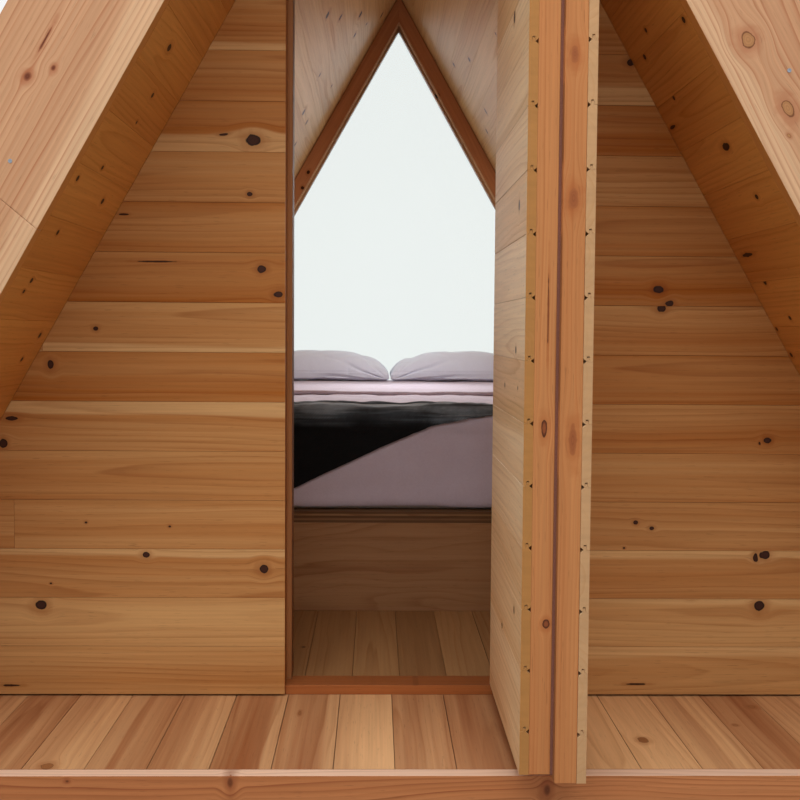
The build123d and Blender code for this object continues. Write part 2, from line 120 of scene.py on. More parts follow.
class BoardSizes(bpy.types.PropertyGroup):
    """Sizes of the boards and of the gaps between them."""

    pitch: length_property("Wall board pitch", "From joint to joint up a wall", 0.132)
    first_joint: length_property("First joint", "Lowest edge of the boarding over the deck", 0.005)
    joint: length_property("Joint", "Open joint between two boards", 0.0005)
    arris: length_property("Arris", "Bevel along a board's visible edge", 0.0007)
    back_notch: length_property("Back notch", "Bevel along a board's hidden edge", 0.0056)
    tongue: length_property("Tongue", "How far a tongue stands out", 0.008)
    deck_pitch: length_property("Deck board pitch", "From joint to joint across the porch", 0.140)
    deck_joint: length_property("Deck joint", "Gap between porch boards", 0.0010)
    deck_line: length_property("Deck joint line", "Place of one joint of the porch boards", -0.060)
    floor_line: length_property("Floor joint line", "Place of one joint of the floorboards", -0.037)
    roof_lap: length_property("Roof board pitch", "From edge to edge down the roof", 0.160)
    slot_length: length_property("Finger slot", "Height of the slot that pulls the leaf", 0.150)
    slot_width: length_property("Finger slot width", "Width of the slot that pulls the leaf", 0.034)
    seed: IntProperty(name="Seed", description="Picks the tone of each board", default=11)


class TimberColours(bpy.types.PropertyGroup):
    """Colours of the timber, each as a pale and a warm end."""

    wall_pale: colour_property("Wall, pale", "Palest wall board", shade(204, 156, 100))
    wall_warm: colour_property("Wall, warm", "Warmest wall board", shade(160, 87, 16))
    lining_pale: colour_property("Lining, pale", "Palest board of the lining", shade(216, 174, 118))
    lining_warm: colour_property("Lining, warm", "Warmest board of the lining", shade(188, 138, 84))
    # Painted shade and warm bounce light: over the porch the lining's colours are multiplied by this
    soffit_shade: colour_property("Soffit shade", "How the lining has turned out of doors", (1.0, 0.72, 0.40))
    fir_pale: colour_property("Fir, pale", "Pale fir of the framing", shade(216, 169, 129))
    fir_warm: colour_property("Fir, red", "Red fir of the framing", shade(188, 136, 98))
    stud_pale: colour_property("Stud, pale", "Pale side of the door's studs", shade(206, 145, 90))
    stud_warm: colour_property("Stud, red", "Red side of the door's studs", shade(182, 111, 62))
    deck_pale: colour_property("Deck, pale", "Palest porch board", shade(226, 178, 127))
    deck_warm: colour_property("Deck, red", "Reddest porch board", shade(151, 92, 55))
    stain_pale: colour_property("Window frame, light", "Light end of the oiled frame", shade(200, 134, 86))
    stain_warm: colour_property("Window frame, dark", "Dark end of the oiled frame", shade(150, 92, 56))
    sapwood: colour_property("Sapwood", "Pale sapwood at a board's edge", shade(219, 177, 122))
    knot: colour_property("Knot", "Heart of a knot", shade(58, 27, 12))
    knot_rim: colour_property("Knot rim", "Bark round a knot", shade(30, 14, 6))


class BeddingSizes(bpy.types.PropertyGroup):
    """Sizes and colours of the bedding."""

    shoulder: length_property("Cover shoulder", "Roundness where the cover turns down", 0.060)
    turn_down: length_property("Turned-down layer", "Thickness of the cover's turned-down end", 0.016)
    fold_line: length_property("Fold line", "Where the turned-down end stops", 1.650)
    throw_gap: length_property("Throw's seat", "From the cover to the throw's underside", 0.0025)
    throw_thickness: length_property("Throw thickness", "Thickness of the wool", 0.004)
    cover_colour: colour_property("Cover", "Colour of the bed cover", shade(208, 197, 210))
    pillow_colour: colour_property("Pillows", "Colour of the pillows", shade(226, 230, 242))
    throw_colour: colour_property("Throw", "Colour of the wool throw", shade(22, 22, 24))


class StageSettings(bpy.types.PropertyGroup):
    """The camera as the photograph was taken, and the studio's light."""

    place: FloatVectorProperty(name="Camera place", description="Where the camera stands",
                               subtype="XYZ", default=(-0.110, -3.128, 1.389))
    lens: FloatProperty(name="Lens", description="Focal length in millimetres", default=52.76)
    pitch: angle_property("Pitch", "How far the camera looks down", 3.362)
    yaw: angle_property("Yaw", "How far the camera looks to the right", 1.218)
    roll: angle_property("Roll", "How far the camera leans", 0.42)
    sky: FloatProperty(name="Sky light", description="Strength of the even light all round", default=0.30)
    overhead: power_property("Overhead lamp", "Power of the lamp over the porch", 235.0)
    front: power_property("Front lamp", "Power of the lamp before the porch", 45.0)
    rear: power_property("Rear lamp", "Power of the lamp behind the glazing", 320.0)
    window: power_property("Window glow", "Power of the lamp inside the glazing", 7.0)
    bed: power_property("Bed glow", "Power of the lamp that faces the pillows", 3.1)
    room: power_property("Room glow", "Power of the lamp over the bed, which lights the lining", 2.5)
    floor_colour: colour_property("Floor", "Colour of the studio floor", (0.62, 0.62, 0.62))


def knots_at(plane, *knots):
    """Knots of an upright face at Y, each given as X, Z, radius and, for a long one, length over width."""
    return [(x, plane, z, *more) for x, z, *more in knots]


def half_width(height):
    """Half of the room's width under the lining at a height."""
    return (APEX - height) / SLOPE


def deselect():
    if bpy.context.mode != "OBJECT":
        bpy.ops.object.mode_set(mode="OBJECT")
    bpy.ops.object.select_all(action="DESELECT")


def activate(piece):
    deselect()
    piece.select_set(True)
    bpy.context.view_layer.objects.active = piece


@contextmanager
def editing(piece):
    """Opens a piece's mesh with all of it selected, and closes it when the work is done."""
    activate(piece)
    bpy.ops.object.mode_set(mode="EDIT")
    bpy.ops.mesh.select_all(action="SELECT")
    yield
    bpy.ops.object.mode_set(mode="OBJECT")


@contextmanager
def picking(piece, kind, wanted):
    """Opens a piece's mesh with only the vertices, edges or faces selected that a test picks."""
    with editing(piece):
        bpy.ops.mesh.select_mode(type=kind)
        bpy.ops.mesh.select_all(action="DESELECT")
    mesh = piece.data
    for item in {"VERT": mesh.vertices, "EDGE": mesh.edges, "FACE": mesh.polygons}[kind]:
        item.select = wanted(item)
    bpy.ops.object.mode_set(mode="EDIT")
    yield
    bpy.ops.object.mode_set(mode="OBJECT")


def ends_of(piece, edge):
    """The two ends of an edge."""
    return [piece.data.vertices[index].co for index in edge.vertices]


def runs_along(piece, edge, axis, length):
    """Whether an edge reaches further than a length along an axis."""
    start, end = ends_of(piece, edge)
    return abs(start[axis] - end[axis]) > length


def settle(piece):
    """Puts the place, turn and scale of a piece into its mesh."""
    activate(piece)
    bpy.ops.object.transform_apply(location=True, rotation=True, scale=True)


def modify(piece, kind, **settings):
    """Adds a modifier with these settings and applies it."""
    activate(piece)
    modifier = piece.modifiers.new(kind.lower(), kind)
    for name, value in settings.items():
        setattr(modifier, name, value)
    bpy.ops.object.modifier_apply(modifier=modifier.name)


def block(name, low, high):
    """Box between two corners."""
    low, high = Vector(low), Vector(high)
    deselect()
    bpy.ops.mesh.primitive_cube_add(size=1, location=(low + high) / 2, scale=high - low)
    piece = bpy.context.object
    piece.name = name
    settle(piece)
    return piece


def profile(name, outline, start, reach):
    """Solid drawn out by reach from an outline of points that lies at start."""
    deselect()
    bpy.ops.mesh.primitive_circle_add(vertices=len(outline), fill_type="NGON")
    piece = bpy.context.object
    piece.name = name
    for vertex, point in zip(piece.data.vertices, outline):
        vertex.co = Vector(start) + Vector(point)
    settle(piece)
    with editing(piece):
        bpy.ops.mesh.extrude_region_move(TRANSFORM_OT_translate={"value": reach})
        bpy.ops.mesh.select_all(action="SELECT")
        bpy.ops.mesh.normals_make_consistent(inside=False)
    return piece


def repeat(piece, count, step):
    """Copies a board along a run."""
    modify(piece, "ARRAY", count=count, use_relative_offset=False,
           use_constant_offset=True, constant_offset_displace=step)


def cut(piece, point, normal):
    """Cuts off what lies beyond a plane and closes the cut."""
    with editing(piece):
        bpy.ops.mesh.bisect(plane_co=point, plane_no=normal, use_fill=True, clear_outer=True)


def score(piece, point, normal):
    """Divides the faces along a plane and leaves them joined."""
    with editing(piece):
        bpy.ops.mesh.bisect(plane_co=point, plane_no=normal)


def cut_slopes(piece, sides=(-1, 1)):
    """Trims a piece to the inside of the roof, just short of the lining."""
    for side in sides:
        normal = Vector((side * math.sin(ROOF_ANGLE), 0, math.cos(ROOF_ANGLE)))
        cut(piece, Vector((0, 0, APEX)) - ROOF_CLEARANCE * normal, normal)


def place(piece, matrix):
    """Moves a piece by a matrix, in its mesh."""
    piece.matrix_world = matrix @ piece.matrix_world
    settle(piece)


def join(name, pieces):
    """One piece from several."""
    deselect()
    for piece in pieces:
        piece.select_set(True)
    bpy.context.view_layer.objects.active = pieces[0]
    bpy.ops.object.join()
    piece = bpy.context.object
    piece.name = name
    return piece


def carve(piece, tool):
    """Takes the tool's shape out of a piece."""
    modify(piece, "BOOLEAN", object=tool, operation="DIFFERENCE", solver="EXACT")
    bpy.data.objects.remove(tool)


def slope_matrix(side):
    """From a flat slope with its ridge at the origin to one side of the roof."""
    return Matrix.Translation((0, 0, APEX)) @ Matrix.Rotation(side * ROOF_ANGLE, 4, "Y")


def open_door_matrix():
    """From the leaf shut in its frame to the leaf standing open."""
    return Matrix.Translation(HINGE) @ Matrix.Rotation(math.radians(90), 4, "Z") @ Matrix.Translation(-HINGE)


def grain_frame(grain):
    """Matrix from object space to along, across and through the timber."""
    order, turn = grain
    turned = Matrix.Rotation(turn, 3, "Y")
    rows = [turned["XYZ".index(letter)] for letter in order]
    return Matrix(rows)


def slope_line(side, first):
    """Joint line of the boards on a slope, from where the first one starts, measured from the ridge."""
    return (grain_frame(GRAIN_LINING[side]) @ Vector((0, 0, APEX))).y + side * first


def strew(dice, low, high, strewn):
    """Knots at chance places on a board, by so many a metre between two radii."""
    rate, smallest, largest = strewn
    number = int(rate * (high[0] - low[0]) + dice.random())
    margin = 0.01
    return [(dice.uniform(low[0], high[0]), dice.uniform(low[1] + margin, high[1] - margin),
             smallest + (largest - smallest) * dice.random() ** 2, dice.uniform(1.0, 1.7))
            for _ in range(number)]


def tag_boards(piece, grain, line, pitch, tones=None, knots=(), strewn=None, split=None, seeds=None,
               ends=None):
    """Gives each face what its material reads: its board's tone, seed, middle, depth and half width,
    whether it is an end of the grain or a face that ends picks instead, such as the rim's top with its
    painted highlight, and the knots of that board as along, across, radius and stretch."""
    rows = grain_frame(grain)
    mesh = piece.data
    places = [rows @ vertex.co for vertex in mesh.vertices]
    keys = []
    corners = {}
    for face in mesh.polygons:
        centre = rows @ face.center
        row = math.floor((centre.y - line) / pitch)
        key = (row, split(centre.x, row) if split else 0)
        keys.append(key)
        points = [places[index] for index in face.vertices]
        points += corners.get(key, [])
        corners[key] = [tuple(map(min, *points)), tuple(map(max, *points))]
    chosen = [(*(rows @ Vector(knot[:3]))[:2], *knot[3:]) for knot in knots]
    look = {}
    for key, (low, high) in corners.items():
        dice = random.Random(f"{piece.name} {key} {sizes().seed}")
        tone = tones(key[0]) if tones else dice.uniform(-1, 1)
        own = [knot for knot in chosen if low[0] < knot[0] < high[0] and low[1] < knot[1] < high[1]]
        if strewn and not own:
            own = strew(dice, low, high, strewn)
        own = [(*knot, 1.3)[:4] for knot in own[:KNOTS_A_BOARD]]
        own += [(0, 0, 0, 1)] * (KNOTS_A_BOARD - len(own))
        seed = seeds(key) if seeds else dice.random()
        look[key] = {"board": (tone, seed, (low[1] + high[1]) / 2),
                     "section": (0, low[2], (high[1] - low[1]) / 2),
                     "stretch": [knot[3] for knot in own]}
        for number, knot in enumerate(own):
            look[key][f"knot_{number}"] = knot[:3]
    names = ["board", "stretch"] + [f"knot_{number}" for number in range(KNOTS_A_BOARD)]
    for name in names:
        attribute = mesh.attributes.new(name, "FLOAT_VECTOR", "FACE")
        attribute.data.foreach_set("vector", [value for key in keys for value in look[key][name]])
    section = []
    for face, key in zip(mesh.polygons, keys):
        ending = ends(face.normal) if ends else abs((rows @ face.normal).x) > 0.7
        section += [float(ending), *look[key]["section"][1:]]
    mesh.attributes.new("section", "FLOAT_VECTOR", "FACE").data.foreach_set("vector", section)


def tag_timber(piece, grain, tone=0.0, **more):
    """Tags a piece that is a single timber."""
    tag_boards(piece, grain, -50, 100, lambda key: tone, **more)


def finish_piece(piece, material, body, slot, *nodes):
    """Dresses a piece, makes it ride and lets it stand for CAD nodes."""
    piece.data.materials.clear()
    piece.data.materials.append(material)
    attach(piece, body)
    if nodes:
        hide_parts(*nodes)
    return piece


def merged(node, name):
    """Copy of a CAD node with its triangles merged into flat faces."""
    piece = bpy.data.objects.new(name, frame["nodes"][node].data.copy())
    bpy.context.scene.collection.objects.link(piece)
    weld = 0.00001
    with editing(piece):
        bpy.ops.mesh.remove_doubles(threshold=weld)
        bpy.ops.mesh.dissolve_limited(angle_limit=math.radians(1))
    return piece


def dressed(node, name, eased=EASED):
    """Merged copy of a CAD node with its edges eased."""
    piece = merged(node, name)
    modify(piece, "BEVEL", width=eased, segments=2, limit_method="ANGLE", angle_limit=math.radians(35))
    return piece


def sizes():
    return bpy.context.scene.cabin_boards


def colours():
    return bpy.context.scene.cabin_timber


def bedding():
    return bpy.context.scene.cabin_bedding


def wire(tree, made, values):
    """Links or sets the sockets of a node. A colour gets an alpha of one."""
    for key, value in values.items():
        socket = made.inputs[key]
        if isinstance(value, bpy.types.NodeSocket):
            tree.links.new(value, socket)
        elif socket.type == "RGBA":
            socket.default_value = (*tuple(value)[:3], 1.0)
        else:
            socket.default_value = value


def add_node(tree, kind, values=None, **settings):
    """Adds a node, sets it up and links or fills its sockets."""
    made = tree.nodes.new(kind)
    for name, value in settings.items():
        setattr(made, name, value)
    wire(tree, made, values or {})
    return made


def calc(tree, operation, *values):
    return add_node(tree, "ShaderNodeMath", dict(enumerate(values)), operation=operation).outputs[0]


def arithmetic(tree):
    """Times, plus, minus, and times followed by plus, as functions that add to one tree."""
    return [partial(calc, tree, operation) for operation in ("MULTIPLY", "ADD", "SUBTRACT", "MULTIPLY_ADD")]


def clamped(socket):
    """Keeps what a sum gives between nought and one."""
    socket.node.use_clamp = True
    return socket


def ramp(tree, value, low, high, start=0.0, end=1.0):
    """Smooth step of a value from one range to another."""
    values = dict(enumerate((value, low, high, start, end)))
    return add_node(tree, "ShaderNodeMapRange", values, interpolation_type="SMOOTHSTEP").outputs[0]


def blend_colour(tree, factor, first, second, mode="MIX"):
    values = {0: factor, 6: first, 7: second}
    return add_node(tree, "ShaderNodeMix", values, data_type="RGBA", blend_type=mode).outputs[2]


def dimmed(tree, colour, factor):
    """Colour multiplied by a number."""
    return blend_colour(tree, 1.0, colour, vector(tree, factor, factor, factor), "MULTIPLY")


def vector(tree, *values):
    return add_node(tree, "ShaderNodeCombineXYZ", dict(enumerate(values))).outputs[0]


def parts(tree, value):
    return add_node(tree, "ShaderNodeSeparateXYZ", {0: value}).outputs


def attribute(tree, name):
    return add_node(tree, "ShaderNodeAttribute", attribute_name=name).outputs["Vector"]


def cloud(tree, point, scale=1.0, detail=2.0):
    """Noise between nought and one."""
    values = {"Vector": point, "Scale": scale, "Detail": detail}
    return add_node(tree, "ShaderNodeTexNoise", values).outputs[0]


def stretched(tree, place, scales, detail=2.0):
    """Noise drawn out along the grain. A place without a scale of its own stays as it is."""
    scaled = [calc(tree, "MULTIPLY", value, scale) for value, scale in zip(place, scales)]
    return cloud(tree, vector(tree, *scaled, *place[len(scales):]), 1.0, detail)


def new_group(name, inputs, outputs):
    """Empty node group with its sockets, and the nodes at its two ends."""
    group = bpy.data.node_groups.new(name, "ShaderNodeTree")
    for labels, in_out in ((inputs, "INPUT"), (outputs, "OUTPUT")):
        for label, kind in labels.items():
            group.interface.new_socket(label, in_out=in_out, socket_type=f"NodeSocket{kind}")
    return group, group.nodes.new("NodeGroupInput").outputs, group.nodes.new("NodeGroupOutput").inputs


def grouped(tree, group, values):
    """Puts a node group into a tree, with its sockets linked or filled."""
    return add_node(tree, "ShaderNodeGroup", values, node_tree=group).outputs


def knot_group():
    """Bends the grain round one knot, and keeps the smallest distance as a share of a knot's radius."""
    group = bpy.data.node_groups.get("Knot")
    if group:
        return group
    inputs = {"Point": "Vector", "Share": "Float", "Place": "Vector", "Stretch": "Float"}
    group, start, end = new_group("Knot", inputs, {"Point": "Vector", "Share": "Float"})
    times, plus, minus, _ = arithmetic(group)
    along, across, through = parts(group, start["Point"])
    knot_along, knot_across, radius = parts(group, start["Place"])
    ahead = calc(group, "DIVIDE", minus(along, knot_along), start["Stretch"])
    aside = minus(across, knot_across)
    distance = calc(group, "SQRT", plus(times(ahead, ahead), times(aside, aside)))
    share = calc(group, "DIVIDE", distance, calc(group, "MAXIMUM", radius, 0.00001))
    pull = ramp(group, share, 0.4, 4.2, 0.85, 0.0)
    bent = minus(across, times(aside, pull))
    group.links.new(vector(group, along, bent, through), end["Point"])
    group.links.new(calc(group, "MINIMUM", share, start["Share"]), end["Share"])
    return group


def softwood_group():
    """Colour and relief of planed softwood, from a point given along, across and through the timber."""
    group = bpy.data.node_groups.get("Softwood")
    if group:
        return group
    colour_inputs = ("Pale", "Warm", "Sap", "Line", "Knot", "Rim", "End")
    number_inputs = ("Share", "Spacing", "Wander", "Rings", "Fibre", "Sap share", "Sap reach", "Edge",
                     "Spread", "Pith", "Bark")
    group, start, end = new_group(
        "Softwood",
        {"Point": "Vector", **dict.fromkeys(colour_inputs, "Color"), **dict.fromkeys(number_inputs, "Float")},
        {"Color": "Color", "Height": "Float", "Ring": "Float"})
    times, plus, minus, times_plus = arithmetic(group)
    along, across, through = parts(group, start["Point"])
    tone, seed, middle = parts(group, attribute(group, "board"))
    ending, depth_low, half = parts(group, attribute(group, "section"))
    run = times_plus(seed, 23.0, along)
    local = minus(across, middle)
    side = calc(group, "DIVIDE", local, half)

    def share_of(number):
        """Another chance number of the same board."""
        return calc(group, "FRACT", times(seed, number))

    def waver(along_scale, across_scale, detail=2.0):
        """Noise about nought, drawn out along the board."""
        return minus(stretched(group, (run, local, seed), (along_scale, across_scale), detail), 0.5)

    # Growth rings, as the distance from a wandering pith
    slow = waver(0.9, 4.0)
    pith = times_plus(minus(share_of(17.3), 0.5), 0.16, start["Pith"])
    sideways = plus(local, times_plus(slow, start["Wander"], pith))
    heart = stretched(group, (run, seed, seed), (0.5, 5.0), 1.0)
    depth = plus(times_plus(heart, 0.12, -0.012), minus(through, depth_low))
    radius = calc(group, "SQRT", plus(times(sideways, sideways), times(depth, depth)))
    turns = times_plus(waver(3.0, 55.0), 0.45, calc(group, "DIVIDE", radius, start["Spacing"]))
    phase = calc(group, "FRACT", turns)
    rise = calc(group, "POWER", phase, 2.6)
    fall = ramp(group, phase, 0.86, 1.0, 1.0, 0.0)
    uneven = stretched(group, (run, turns, seed), (1.1, 0.8))
    ring = times(times(rise, fall), ramp(group, uneven, 0.3, 0.72, 0.12, 1.0))

    # Body colour, with sapwood along one edge of some boards
    streak = waver(0.8, 60.0, 3.0)
    lean = times_plus(waver(0.4, 11.0), start["Spread"], times_plus(tone, 0.42, 0.5))
    body = blend_colour(group, clamped(times_plus(streak, 0.55, lean)), start["Pale"], start["Warm"])
    turned = times(side, calc(group, "SIGN", minus(share_of(13.7), 0.5)))
    reach = times_plus(share_of(3.1), 0.4, start["Sap reach"])
    near = ramp(group, minus(times_plus(slow, 0.9, turned), reach), 0.0, 0.14)
    has_sap = calc(group, "LESS_THAN", share_of(5.37), start["Sap share"])
    body = blend_colour(group, times(times(near, has_sap), 0.55), body, start["Sap"])

    # Ring lines, fibres, ticks and darker edges of the planed face
    dark = blend_colour(group, 1.0, body, start["Line"], "MULTIPLY")
    ringed = blend_colour(group, times(ring, start["Rings"]), body, dark)
    fibre = stretched(group, (run, local, through), (3.5, 170.0, 170.0), 4.0)
    ticks = ramp(group, stretched(group, (run, local, seed), (26.0, 420.0), 0.0), 0.72, 0.82, 1.0, 0.80)
    spread = times(start["Fibre"], minus(fibre, 0.52))
    from_edge = times(minus(1.0, calc(group, "ABSOLUTE", side)), half)
    edge_near = ramp(group, from_edge, 0.0, 0.0022, 1.0, 0.0)
    edge = times(times(edge_near, start["Edge"]), share_of(9.1))
    planed = dimmed(group, ringed, times(plus(spread, ticks), minus(1.0, edge)))

    # Sawn ends and faces tagged as ends, such as the rim's top with its painted highlight, and knots with a
    # halo, a heart and a rim of bark
    ends = blend_colour(group, times(ring, 0.35), start["End"], dark)
    ends = dimmed(group, ends, times_plus(streak, 0.3, 1.0))
    sawn = blend_colour(group, ending, planed, ends)
    wobble = minus(cloud(group, start["Point"], 46.0, 3.0), 0.5)
    share = times(start["Share"], times_plus(wobble, 1.1, 1.0))
    haloed = blend_colour(group, ramp(group, share, 0.85, 2.5, 0.45, 0.0), sawn, dark)
    core_ring = times(calc(group, "SINE", times(share, 19.0)), 0.08)
    heartwood = dimmed(group, start["Knot"], plus(core_ring, 1.0))
    knot = blend_colour(group, ramp(group, share, start["Bark"], 0.88), heartwood, start["Rim"])
    final = blend_colour(group, ramp(group, share, 0.82, 0.98, 1.0, 0.0), haloed, knot)
    group.links.new(final, end["Color"])
    group.links.new(times_plus(ring, 0.5, fibre), end["Height"])
    group.links.new(ring, end["Ring"])
    return group


def new_material(name):
    """Material with an empty tree but for its shader and output."""
    material = bpy.data.materials.new(name)
    material.use_nodes = True
    tree = material.node_tree
    tree.nodes.clear()
    output = tree.nodes.new("ShaderNodeOutputMaterial")
    shader = tree.nodes.new("ShaderNodeBsdfPrincipled")
    tree.links.new(shader.outputs[0], output.inputs["Surface"])
    return material, tree, shader


def object_point(tree, turn=0.0):
    """Object coordinates, turned about Y."""
    here = tree.nodes.new("ShaderNodeTexCoord").outputs["Object"]
    if not turn:
        return here
    return add_node(tree, "ShaderNodeMapping", {"Vector": here, "Rotation": (0, turn, 0)}).outputs[0]


# What the Softwood group reads where a piece asks for nothing else
PLAIN_FIGURE = {"spacing": 0.013, "wander": 0.07, "rings": 0.5, "line": (0.56, 0.36, 0.22), "fibre": 0.34,
                "sap_share": 0.0, "sap_reach": 0.25, "edge": 0.5, "spread": 0.9, "bark": 0.5, "pith": 0.0}


def timber(name, grain, pale, warm, gloss=0.52, porch=None, **figure):
    """Planed softwood whose grain runs along a chosen axis of the piece. The figure is what differs from
    the plain one, each value named like the group's socket."""
    material, tree, shader = new_material(name)
    order, turn = grain
    here = parts(tree, object_point(tree, turn))
    point = vector(tree, *[here["XYZ".index(letter)] for letter in order])
    stretch = parts(tree, attribute(tree, "stretch"))
    far_off = 50.0
    share = far_off
    for number in range(KNOTS_A_BOARD):
        bent = grouped(tree, knot_group(), {"Point": point, "Share": share, "Stretch": stretch[number],
                                            "Place": attribute(tree, f"knot_{number}")})
        point, share = bent["Point"], bent["Share"]
    # Over the porch the pale and warm colours are multiplied by the porch colour: painted shade and warm
    # bounce light on the soffit
    if porch:
        outside = ramp(tree, parts(tree, object_point(tree))[1], -0.02, WALL_BACK, 1.0, 0.0)
        pale, warm = [blend_colour(tree, outside, colour, [a * b for a, b in zip(colour, porch)])
                      for colour in (pale, warm)]
    tint = colours()
    values = {**PLAIN_FIGURE, "point": point, "share": share, "pale": pale, "warm": warm, "end": warm,
              "sap": tint.sapwood, "knot": tint.knot, "rim": tint.knot_rim, **figure}
    named = {key.replace("_", " ").capitalize(): value for key, value in values.items()}
    wood = grouped(tree, softwood_group(), named)
    bump = add_node(tree, "ShaderNodeBump", {"Strength": 0.22, "Distance": 0.0005, "Height": wood["Height"]})
    wire(tree, shader, {"Base Color": wood["Color"], "Normal": bump.outputs[0], "Specular IOR Level": 0.16,
                        "Roughness": ramp(tree, wood["Ring"], 0.0, 1.0, gloss, gloss + 0.12)})
    return material


def finish_timber(piece, name, grain, pale, warm, slot, *nodes, body="cabin", **figure):
    """Dresses a piece in timber of its own, and finishes it."""
    finish_piece(piece, timber(name, grain, pale, warm, **figure), body, slot, *nodes)


def woven(name, colour, second, threads, sheen=0.25, relief=0.0005, mottle=0.5, nap=0.6, painted_shoulder_light=None):
    """Woven cloth with fine crossing threads and slow changes of tone. Above a given level, the wool is
    painted paler in streaks: painted light of the window grazing the cover's shoulder."""
    material, tree, shader = new_material(name)
    times, plus, minus, times_plus = arithmetic(tree)
    here = object_point(tree)
    x, y, z = parts(tree, here)
    slanted = times_plus(z, 0.6, x)
    warp = calc(tree, "SINE", times(slanted, threads))
    weft = calc(tree, "SINE", times(plus(y, z), threads))
    weave = times(warp, weft)
    slub = cloud(tree, here, threads * 0.12, 3.0)
    patch = minus(cloud(tree, here, 7.0, 3.0), 0.5)
    mixed = clamped(times_plus(weave, 0.16, times_plus(slub, 0.5, times_plus(patch, mottle, 0.2))))
    cloth = blend_colour(tree, mixed, colour, second)
    # Painted light: above the shoulder's level the wool turns paler in long streaks, where the window's light
    # grazes it
    if painted_shoulder_light:
        level, paler = painted_shoulder_light
        shoulder_light_mask = ramp(tree, times_plus(cloud(tree, here, 4.0), 0.10, z), level - 0.04, level + 0.05)
        drawn = stretched(tree, (slanted, z, y), (3.0, 50.0, 50.0))
        painted_light_streaks = times(ramp(tree, drawn, 0.36, 0.62, 0.30, 1.0), minus(1.0, mixed))
        cloth = blend_colour(tree, times(shoulder_light_mask, painted_light_streaks), cloth, paler)
    bump = add_node(tree, "ShaderNodeBump", {"Strength": 0.35, "Distance": relief,
                                             "Height": times_plus(slub, 1.4, weave)})
    wire(tree, shader, {"Base Color": cloth, "Normal": bump.outputs[0], "Roughness": 0.9,
                        "Sheen Weight": sheen, "Sheen Roughness": nap, "Specular IOR Level": 0.15})
    return material


def metal(name, dark, bright, roughness):
    """Brushed steel."""
    steel, tree, shader = new_material(name)
    x, y, z = parts(tree, object_point(tree))
    brushed = stretched(tree, (x, z, y), (60.0, 1500.0, 1500.0))
    wire(tree, shader, {"Base Color": blend_colour(tree, brushed, dark, bright), "Metallic": 1.0,
                        "Roughness": roughness})
    return steel


def board_outline(thickness, flip=False):
    """Tongue-and-groove section as points in Y and Z, with its front at Y nought."""
    board = sizes()
    top = board.pitch - board.joint
    arris, notch = board.arris, board.back_notch
    near, far = 0.36 * thickness, 0.64 * thickness
    slack = 0.0022
    points = [
        (0, arris), (0, top - arris), (arris, top),
        (near, top), (near + 0.001, top + board.tongue),
        (far - 0.001, top + board.tongue), (far, top),
        (thickness - notch * 1.2, top), (thickness, top - notch),
        (thickness, notch), (thickness - notch * 1.2, 0),
        (far + 0.0002, 0), (far, board.tongue + slack),
        (near, board.tongue + slack), (near - 0.0002, 0),
        (arris, 0),
    ]
    if flip:
        points = [(thickness - depth, height) for depth, height in points]
    return [(0, depth, height) for depth, height in points]


def butt_joint(piece, first, count, left):
    """Parts one board of a run, given by its vertices, and leaves a hairline between the two lengths."""
    hairline = 0.0007
    with picking(piece, "VERT", lambda vertex: first <= vertex.index < first + count):
        bpy.ops.mesh.separate(type="SELECTED")
    board = next(item for item in bpy.context.selected_objects if item is not piece)
    activate(board)
    bpy.ops.object.duplicate()
    other = bpy.context.object
    cut(board, (left, 0, 0), (1, 0, 0))
    cut(other, (left + hairline, 0, 0), (-1, 0, 0))
    return [board, other]


def wall_run(name, left, right, front, thickness, bottom, top, flip=False, butts=None):
    """Horizontal tongue-and-groove boards on the shared grid of joints."""
    board = sizes()
    grid = DECK + board.first_joint
    first = math.floor((bottom - grid) / board.pitch + 0.001)
    last = math.ceil((top - grid) / board.pitch - 0.001)
    start = (left, front, grid + first * board.pitch)
    piece = profile(name, board_outline(thickness, flip), start, (right - left, 0, 0))
    corners = len(piece.data.vertices)
    repeat(piece, last - first, (0, 0, board.pitch))
    parted = []
    for row, seam in sorted((butts or {}).items(), reverse=True):
        parted += butt_joint(piece, (row - first) * corners, corners, seam)
    if parted:
        piece = join(name, [piece, *parted])
    if bottom > grid + first * board.pitch + 0.0005:
        cut(piece, (0, 0, bottom), (0, 0, -1))
    cut(piece, (0, 0, top), (0, 0, 1))
    return piece


# Knots on the front wall: place, radius and, for a long one, its length over its width
WALL_KNOTS = {
    -1: knots_at(
        0, (-0.436, 1.888, 0.016, 1.35), (-0.444, 1.747, 0.006), (-0.412, 1.550, 0.010),
        (-0.367, 1.484, 0.010), (-0.851, 1.390, 0.006), (-0.970, 1.294, 0.013, 0.7),
        (-1.076, 1.150, 0.006, 3.0), (-1.098, 1.083, 0.012, 1.0), (-0.881, 0.872, 0.003),
        (-0.658, 0.862, 0.003), (-0.721, 0.785, 0.008), (-0.406, 0.748, 0.012, 1.1),
        (-0.976, 0.707, 0.003), (-1.003, 0.648, 0.015, 1.1), (-0.512, 1.901, 0.003, 4.0),
        (-0.775, 1.691, 0.003, 5.0), (-0.690, 1.568, 0.0022, 24.0), (-1.083, 0.429, 0.003, 8.0)),
    1: knots_at(
        0, (0.645, 1.505, 0.011, 1.2), (0.676, 1.469, 0.009), (0.654, 1.455, 0.011, 1.2),
        (0.559, 2.101, 0.009), (0.947, 1.102, 0.009), (0.927, 1.098, 0.003), (0.596, 0.878, 0.005),
        (0.640, 0.862, 0.006), (0.565, 0.808, 0.003), (0.947, 0.790, 0.012), (0.924, 0.786, 0.006),
        (0.750, 0.676, 0.006), (0.938, 0.651, 0.015, 1.1), (0.605, 0.434, 0.003, 10.0)),
}
# Where a board of the left wall is made of two lengths, by its place in the run
WALL_BUTTS = {3: -1.072, 7: -0.992}


